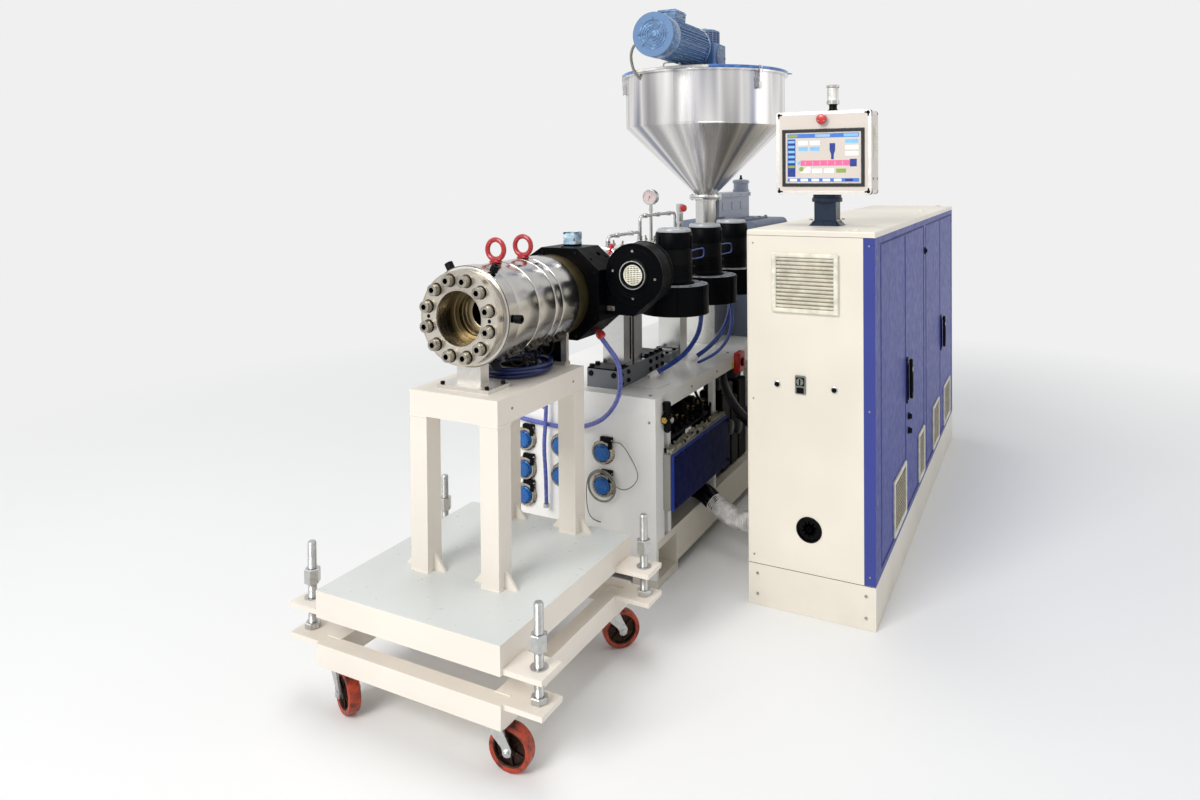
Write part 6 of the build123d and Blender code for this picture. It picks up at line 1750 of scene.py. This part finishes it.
def buildScreen():
    where = facing("front", 814, hmi["front"], hmi["screenZ"])
    wide, tall = hmi["screen"]
    for box in (((-wide / 2 - 8, tall / 2 - 4), (wide / 2 + 8, tall / 2 + 9)),
                ((-wide / 2 - 8, -tall / 2 - 9), (wide / 2 + 8, -tall / 2 + 4)),
                ((-wide / 2 - 8, -tall / 2), (-wide / 2 + 5, tall / 2)),
                ((wide / 2 - 5, -tall / 2), (wide / 2 + 8, tall / 2))):
        block((*box[0], -3), (*box[1], 5.2), 1.6, 0, where)
    block((-wide / 2, -tall / 2, -5), (wide / 2, tall / 2, 0.8), 0.4, 1, where)
    tiles = (  # left, low, right, high in shares of the screen, and the colour
        (0.02, 0.90, 0.98, 0.985, 2), (0.03, 0.915, 0.16, 0.972, 6), (0.78, 0.915, 0.97, 0.972, 5),
             (0.40, 0.915, 0.60, 0.972, 1),
        (0.02, 0.12, 0.13, 0.88, 4), (0.03, 0.80, 0.12, 0.85, 5), (0.03, 0.70, 0.12, 0.75, 5),
             (0.03, 0.60, 0.12, 0.65, 5),
        (0.03, 0.50, 0.12, 0.55, 5), (0.03, 0.40, 0.12, 0.45, 5), (0.03, 0.30, 0.12, 0.35, 6),
        (0.20, 0.34, 0.90, 0.45, 3), (0.26, 0.36, 0.27, 0.43, 1), (0.36, 0.36, 0.37, 0.43, 1),
             (0.46, 0.36, 0.47, 0.43, 1),
        (0.56, 0.36, 0.57, 0.43, 1), (0.66, 0.36, 0.67, 0.43, 1), (0.76, 0.36, 0.77, 0.43, 1),
        (0.86, 0.32, 0.95, 0.47, 4), (0.16, 0.36, 0.20, 0.43, 5),
        (0.80, 0.78, 0.97, 0.86, 5), (0.80, 0.66, 0.97, 0.74, 7), (0.80, 0.54, 0.97, 0.62, 7),
        (0.17, 0.76, 0.30, 0.84, 7), (0.33, 0.76, 0.46, 0.84, 7), (0.17, 0.64, 0.30, 0.72, 5),
             (0.33, 0.64, 0.46, 0.72, 5),
        (0.20, 0.20, 0.33, 0.28, 7), (0.36, 0.20, 0.49, 0.28, 7), (0.52, 0.20, 0.65, 0.28, 7),
             (0.68, 0.20, 0.81, 0.28, 6),
        (0.02, 0.02, 0.98, 0.09, 2), (0.05, 0.03, 0.15, 0.08, 7), (0.20, 0.03, 0.30, 0.08, 7),
             (0.35, 0.03, 0.45, 0.08, 7),
        (0.50, 0.03, 0.60, 0.08, 7), (0.65, 0.03, 0.75, 0.08, 7), (0.80, 0.03, 0.90, 0.08, 4),
    )
    for order, (x1, y1, x2, y2, colour) in enumerate(tiles):
        low = ((x1 - 0.5) * (wide - 14), (y1 - 0.5) * (tall - 12), 0.7)
        high = ((x2 - 0.5) * (wide - 14), (y2 - 0.5) * (tall - 12), 1.1 + order * 0.012)
        block(low, high, 0.1, colour, where)
    hopper = [(-0.03, 0.30), (-0.03, 0.17), (-0.012, 0.09), (-0.012, 0.0), (0.022, 0.0), (0.022, 0.09),
              (0.04, 0.17), (0.04, 0.30)]
    plate([((x + 0.12) * wide, (y - 0.03) * tall) for x, y in hopper], 0.9, where @ shift(0, 0, 0.8), 0.1, 4)
    lathe([(9, 1.5), (9, 1.9), (0, 1.9)], where @ shift(-82, -44, 0), 28, 6)
    lathe([(9, 1.5), (9, 1.9), (0, 1.9)], where @ shift(-56, -44, 0), 28, 7)
    finishPiece("processScreen", ["screenGlass", "screenPale", "screenBlue", "screenPink", "screenNavy",
            "screenSky", "screenGreen", "screenWhite"], sharp=20)


def buildPanelBox():
    left, right, front, rear, low, high = (hmi[key] for key in ("left", "right", "front", "rear", "low",
            "high"))
    plate(roundedOutline(right - left - 26, high - low - 26, 8, 5), 1.6,
          facing("front", 814, front + 0.6, (low + high) / 2), 0.5, 0)
    block((left + 14, front + 14, high - 1), (right - 14, rear - 14, high + 0.4), 0.4, 0)
    for x in (left, right):
        block((x - 0.5, front + 18, low + 16), (x + 0.5, rear - 18, high - 16), 0.3, 0)
    finishPiece("panelFace", ["faceBeige"])
    # rounded silver edges, front and rear
    for y in (front + 11, rear - 11):
        frameLine = [(left + 11, y, low + 11), (right - 11, y, low + 11), (right - 11, y, high - 11),
                     (left + 11, y, high - 11)]
        for start, end in zip(frameLine, frameLine[1:] + frameLine[:1]):
            tube([start, end], 11.2, ground, 20)
    for x in (left + 11, right - 11):
        for z in (low + 11, high - 11):
            tube([(x, front + 11, z), (x, rear - 11, z)], 11.2, ground, 20)
    finishPiece("panelFrame", ["frameSilver"])
    # dark corner caps
    for x in (left + 11, right - 11):
        for z in (low + 11, high - 11):
            for y, side in ((front, "front"), (rear, "back")):
                cap = facing(side, x, y + (11 if side == "front" else -11), z)
                lathe([(11.9, -8), (11.9, 2), (10.6, 7.6), (6.6, 11), (0, 12.2)], cap, 24)
            for dx, dz in ((1 if x < 800 else -1, 0), (0, 1 if z < 1600 else -1)):
                tube([(x, front + 11, z), (x + dx * 14, front + 11, z + dz * 14)], 11.7, ground, 20)
    finishPiece("panelCorners", ["blackPlastic"])
    # side louvre, plug and latch
    where = facing("right", right, 1262, 1700)
    plate(roundedOutline(58, 120, 6, 4), 3, where, 0.8, 0)
    for row in range(10):
        blade = where @ shift(0, -48 + row * 10.6, 4) @ Matrix.Rotation(radians(32), 4, "X")
        block((-23, -3.8, -0.8), (23, 3.8, 0.8), 0.5, 0, blade)
    addRows(screw, "right", right, (1222, 1302), 1560, 5, 3, 1, steps=14)
    block((740, 1329, 1560), (890, 1334, 1760), 1.5, 0)
    for row in range(8):
        block((756, 1333, 1590 + row * 18), (874, 1336.5, 1598 + row * 18), 1.2, 1)
    finishPiece("panelSides", ["creamPlastic", "screwSteel"])
    # post collar, foot screws, swivel ring
    up = facing("up", 814, 1260, 0)
    lathe([(54, 1488), (54, 1497), (50, 1499.6)], up, 40)
    lathe([(57, 1470), (58, 1472), (58, 1484), (55, 1487)], up, 40)
    for x in (-52, 52):
        for y in (-46, 46):
            bolt(facing("up", 814 + x, 1260 + y, 1399), 11, 5, 1)
    finishPiece("postTrim", ["postDark", "screwSteel"])

    # lamp: black neck, silver cage, clear cap
    lamp = facing("up", 838, 1260, 0)
    lathe([(24, 1820.2), (24, 1824), (17, 1828), (15, 1832), (15, 1845), (18, 1848)], lamp, 32, 0)
    lathe([(18, 1848), (24.4, 1849), (24.4, 1862), (22, 1864)], lamp, 40, 1)
    lathe([(21.5, 1863), (21.5, 1908), (19, 1915), (10, 1918), (0, 1918.6)], lamp, 40, 2)
    for ring in range(6):
        z = 1868 + ring * 7
        lathe([(21.3, z - 1.2), (22.3, z), (21.3, z + 1.2)], lamp, 40, 2)
    for turn in (45, 135, 225, 315):
        a = radians(turn)
        tube([(838 + 23 * cos(a), 1260 + 23 * sin(a), 1858), (838 + 23 * cos(a), 1260 + 23 * sin(a),
                1918)], 1.6, ground, 8, 1)
    lathe([(24.2, 1914), (24.4, 1916), (24.4, 1922), (20, 1924), (0, 1924)], lamp, 40, 1)
    finishPiece("beaconCage", ["blackPlastic", "zinc", "lens"], "beacon_lamp")


buildCabinetFront()
buildControls()
buildDoors()
buildScreen()
buildPanelBox()
print("stage: cabinet dressed")

# Trolley: jack screws, welds, casters, portal
trolley = {
    "jacks": ((-410, -200), (410, -200), (-410, 428), (410, 428)), "casterX": 285, "casterY": 314,
    "middleY": 114, "trail": 35, "turns": (5, -25, 45, 90),
    "corners": ((1, -1), (-1, -1), (1, 1), (-1, 1)), "legs": ((-132.5, -0.5), (132.5, -0.5),
                                                              (-132.5, 438.5), (132.5, 438.5)),
}


def buildJacks():
    for x, y in trolley["jacks"]:
        up = facing("up", x, y, 0)
        profile, z = [(0, 175)], 176.0
        while z < 467:  # rolled thread
            profile += [(12.0, z), (13.1, z + 1.3), (13.1, z + 1.7), (12.0, z + 3.0)]
            z += 3.4
        lathe(profile + [(11.6, 469), (10.4, 472), (0, 472)], up, 20)
        for low, tall, turn in ((175, 18, 0.1), (208.2, 18, 0.35), (267, 17.8, 0.7), (345, 45, 0.5)):
            plate(polygonOutline(6, 42, turn), tall, up @ shift(0, 0, low), 2.4)
        lathe([(24, 300.2), (24, 303), (13.5, 303)], up, 28)
    finishPiece("jackRods", ["zinc"], "jack_screws")


def weldLine(start, end, size):  # a wavy bead along a joint
    start, end = Vector(start), Vector(end)
    count = max(4, int((end - start).length / 5))
    radii = [size * (0.86 + 0.22 * sin(step * 2.1)) for step in range(count + 1)]
    tube([start.lerp(end, step / count) for step in range(count + 1)], radii, ground, 8)


def buildTrolleyWelds():
    for x, y in trolley["legs"]:
        h = 32.5
        for a, b in (((-h, -h), (h, -h)), ((h, -h), (h, h)), ((h, h), (-h, h)), ((-h, h), (-h, -h))):
            weldLine((x + a[0], y + a[1], 366), (x + b[0], y + b[1], 366), 3.4)
            weldLine((x + a[0] * 1.01, y + a[1] * 1.01, 846), (x + b[0] * 1.01, y + b[1] * 1.01, 846), 2.6)
    for x in (-330, 330):
        for y in (-231, 459):
            weldLine((x, y - 20, 286), (x, y + 20, 286), 3)
    finishPiece("portalWelds", ["trolleyCream"])
    # the table's machined top
    plate(roundedOutline(659, 749, 2, 3, (0, 114)), 0.5, facing("up", 0, 0, 364.9), 0.2)
    finishPiece("tableSkin", ["tableTop"])
    # end caps and seams of the lower frame
    for x in (-1, 1):
        for y in (-261, 489):
            side = "front" if y < 0 else "back"
            plate(roundedOutline(44, 60, 4, 4), 1.6, facing(side, x * 304, y, 173) @ shift(0, 0, -1.7), 0.5, 0)
    for x in (-1, 1):
        for y in (-211, 439):
            weldLine((x * 280, y - 3, 208.5), (x * 330, y - 3, 208.5), 2.6)
    for x in (-165, 165):
        addRows(screw, "right" if x > 0 else "left", x, (40, 398), 888, 4, 2, 1, steps=14)
    finishPiece("frameCaps", ["trolleyCream", "screwSteel"])


def casterFrame(number):
    sideX, sideY = trolley["corners"][number - 1]
    place = (sideX * trolley["casterX"], trolley["middleY"] + sideY * trolley["casterY"], 0)
    turn = spin(trolley["turns"][number - 1])
    return ground @ Matrix.Translation(place) @ turn  # local X: the way the wheel trails


def buildCasters():
    for number in range(1, 5):
        frameHere = casterFrame(number)
        # swivel race, fork cheeks, axle nuts
        lathe([(20, 120), (34, 122), (36.5, 126), (36.5, 132), (30, 134), (24, 134)], frameHere, 36)
        lathe([(30, 118), (26, 122)], frameHere, 30)
        for side in (-1, 1):
            cheek = frameHere @ shift(0, side * 29.4, 0) @ Matrix.Rotation(pi / 2 * side * -1, 4, "X")
            reach = trolley["trail"]
            outline = [(-18, 128), (20, 128), (reach + 15, 72), (reach + 12, 55), (reach, 50),
                       (reach - 12, 55), (reach - 14, 72), (-20, 112)]
            plate([(px, -pz * side) for px, pz in outline], 2.0, cheek, 0.6)
            nut = frameHere @ shift(trolley["trail"], side * 29, 62.5) @ Matrix.Rotation(-pi / 2 * side, 4, "X")
            plate(polygonOutline(6, 17), 5, nut @ shift(0, 0, 1.6), 0.8)
            lathe([(11, 0), (11, 1.8), (6, 1.8)], nut, 24)
            lathe([(5.4, 6), (5.4, 7.4), (4.6, 8), (0, 8)], nut, 16)
        finishPiece("casterFork%d" % number, ["zinc"], body="caster_swivel_%d" % number)

        # wheel: tread, rim, ribs and hub
        axle = frameHere @ shift(trolley["trail"], 0, 62.5) @ Matrix.Rotation(-pi / 2, 4, "X")
        tread = [(48, -16), (55, -19), (58.6, -18.6), (61.4, -16.4), (62.4, -12), (62.5, 0), (62.4, 12),
                 (61.4, 16.4), (58.6, 18.6), (55, 19), (48, 16)]
        lathe(tread, axle, 72, 0)
        for flip in (1, -1):
            side = axle @ Matrix.Scale(flip, 4, (0, 0, 1)) if flip < 0 else axle
            lathe([(48.6, 16), (47, 17.4), (44, 15), (42, 8), (19, 7), (17, 12), (16.4, 18.6), (14, 19),
                   (6.4, 19)], side, 60, 1)
            for step in range(6):
                rib = side @ spin(60 * step + 20)
                block((16, -2.4, 5), (44, 2.4, 13), 1, 1, rib)
        finishPiece("casterWheel%d" % number, ["tread", "hubIron"], "caster_wheel_%d" % number,
                    body="caster_roller_%d" % number)
    # caster top plates' bolts
    for number in range(1, 5):
        sideX, sideY = trolley["corners"][number - 1]
        x, y = sideX * trolley["casterX"], trolley["middleY"] + sideY * trolley["casterY"]
        for dx in (-32, 32):
            for dy in (-26, 26):
                bolt(facing("down", x + dx, y + dy, 138), 12, 6)
    finishPiece("casterBolts", ["zinc"])


buildJacks()
buildTrolleyWelds()
buildCasters()
print("stage: trolley dressed")

# CAD nodes that keep their own shape, each with its finish
nodeFinishes = {
    "die_flange": "dieSteel", "die_body": "boreSteel", "adapter_ring": "brass", "barrel": "coverSteel",
    "front_shroud": "black", "front_blower": "black", "barrel_supports": "stainless",
    "fan_housings": "black",
    "fan_motors": "blackPlastic", "cooling_pipes": "zinc", "feed_throat": "stainless",
    "side_feeder": "feederGrey",
    "side_fittings": "fittingBrass", "hopper_shell": "hopperSteel", "hopper_lid": "lidFilm",
    "stirrer_drive": "motorBlue",
    "gearbox": "castGrey", "drive_motor": "motorBlue", "base_deck": "deck", "base_tray": "cream",
    "base_walls": "deck",
    "utility_sockets": "zinc", "valve_panel": "navy", "cabinet_plinth": "cream", "cabinet_walls": "cream",
    "cabinet_frame": "royalBlue", "mounting_plate": "zinc", "louvre_grille": "cream",
    "operator_controls": "blackPlastic",
    "hmi_post": "postDark", "hmi_box": "frameSilver", "beacon_lamp": "lens", "portal_stand": "trolleyCream",
    "die_supports": "frameSilver", "trolley_frame": "trolleyCream", "trolley_table": "trolleyCream",
    "jack_screws": "zinc", }
for index in range(1, 5):
    nodeFinishes["cabinet_door_%d" % index] = "royalBlue"
    nodeFinishes["caster_fork_%d" % index] = "zinc"
    nodeFinishes["caster_wheel_%d" % index] = "tread"
    nodeFinishes["door_handle_%d" % index] = "blackPlastic"


def paintNode(name, finishName):
    piece = bpy.data.objects.get(name)
    if piece is None or piece.type != "MESH":
        return
    finish = finishes[finishName]
    if not piece.material_slots:
        piece.data.materials.append(finish)
    for slot in piece.material_slots:
        slot.material = finish


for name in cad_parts:
    if name in nodeFinishes:
        paintNode(name, nodeFinishes[name])
print("stage: nodes painted")

# Studio: pale floor, soft lights, white background
studio = {
    "floorSize": 60,
    "floorColour": (240, 240, 240),
    "surround": 0.871,
    "worldLight": 0.46,
    "keyPower": 940,
    "fillPower": 90,
    "sidePower": 120,
    "topPower": 310,
}


def addLight(name, power, size, place, aim, colour=(1, 1, 1)):
    lamp = bpy.data.lights.new(name, "AREA")
    lamp.energy = power
    lamp.shape = "RECTANGLE"
    lamp.size, lamp.size_y = size
    lamp.color = colour
    piece = bpy.data.objects.new(name, lamp)
    bpy.context.scene.collection.objects.link(piece)
    piece.location = place
    piece.rotation_euler = (Vector(aim) - Vector(place)).to_track_quat("-Z", "Y").to_euler()
    return piece


def buildStudio():
    world = bpy.data.worlds.new("studioWorld")
    bpy.context.scene.world = world
    world.use_nodes = True
    tree = world.node_tree
    background = tree.nodes["Background"]
    background.inputs["Color"].default_value = (studio["surround"],) * 3 + (1,)
    background.inputs["Strength"].default_value = 1
    ambient = tree.nodes.new("ShaderNodeBackground")
    ambient.inputs["Color"].default_value = (0.95, 0.975, 1, 1)
    ambient.inputs["Strength"].default_value = studio["worldLight"]
    ray = tree.nodes.new("ShaderNodeLightPath")
    seen = None
    for output in ("Is Glossy Ray", "Is Transmission Ray"):
        total = tree.nodes.new("ShaderNodeMath")
        total.operation = "ADD"
        total.use_clamp = True
        tree.links.new(seen or ray.outputs["Is Camera Ray"], total.inputs[0])
        tree.links.new(ray.outputs[output], total.inputs[1])
        seen = total.outputs[0]
    blend = tree.nodes.new("ShaderNodeMixShader")
    tree.links.new(seen, blend.inputs[0])
    tree.links.new(ambient.outputs[0], blend.inputs[1])
    tree.links.new(background.outputs[0], blend.inputs[2])
    tree.links.new(blend.outputs[0], tree.nodes["World Output"].inputs["Surface"])

    mesh = bpy.data.meshes.new("studioFloor")
    half = studio["floorSize"] / 2
    low = -0.0005
    mesh.from_pydata([(-half, -half, low), (half, -half, low), (half, half, low), (-half, half, low)], [],
                     [(0, 1, 2, 3)])
    floor = bpy.data.objects.new("studioFloor", mesh)
    bpy.context.scene.collection.objects.link(floor)
    maker = FinishMaker("studioFloorPaint")
    maker.colourFrom(maker.grain(0.4, 2), [(0.3, shaded(studio["floorColour"], 0.995)),
            (0.7, studio["floorColour"])])
    maker.ranged(maker.grain(3, 2), 0.78, 0.9, "Roughness")
    # Far from the machine the floor passes into the background's own colour
    length = maker.node("ShaderNodeVectorMath", operation="LENGTH")
    maker.join(maker.place, length.inputs[0])
    far = maker.ranged(length.outputs["Value"], 0, 1, fromLow=2.6, fromHigh=5.0)
    pale = maker.node("ShaderNodeEmission")
    pale.inputs["Color"].default_value = (studio["surround"],) * 3 + (1,)
    join = maker.node("ShaderNodeMixShader")
    maker.join(far, join.inputs[0])
    maker.join(maker.shader.outputs[0], join.inputs[1])
    maker.join(pale.outputs[0], join.inputs[2])
    maker.join(join.outputs[0], maker.tree.nodes["Material Output"].inputs["Surface"])
    mesh.materials.append(maker.finish)

    addLight("keySoftbox", studio["keyPower"], (5.5, 5.5), (-2.2, -10.6, 7.6), (0, 0, 0.9),
             (1, 0.985, 0.96))
    addLight("fillSoftbox", studio["fillPower"], (6.6, 6.6), (-9.2, -7.9, 6.4), (0, 0, 0.9),
             (0.95, 0.975, 1))
    addLight("topSoftbox", studio["topPower"], (3.4, 8), (-0.4, 0.2, 11.5), (-0.2, 0, 0.5))
    addLight("sideSoftbox", studio["sidePower"], (5.3, 8.8), (10, 3, 5), (0.5, 0.4, 1.0))


buildStudio()
print("stage: studio lit")
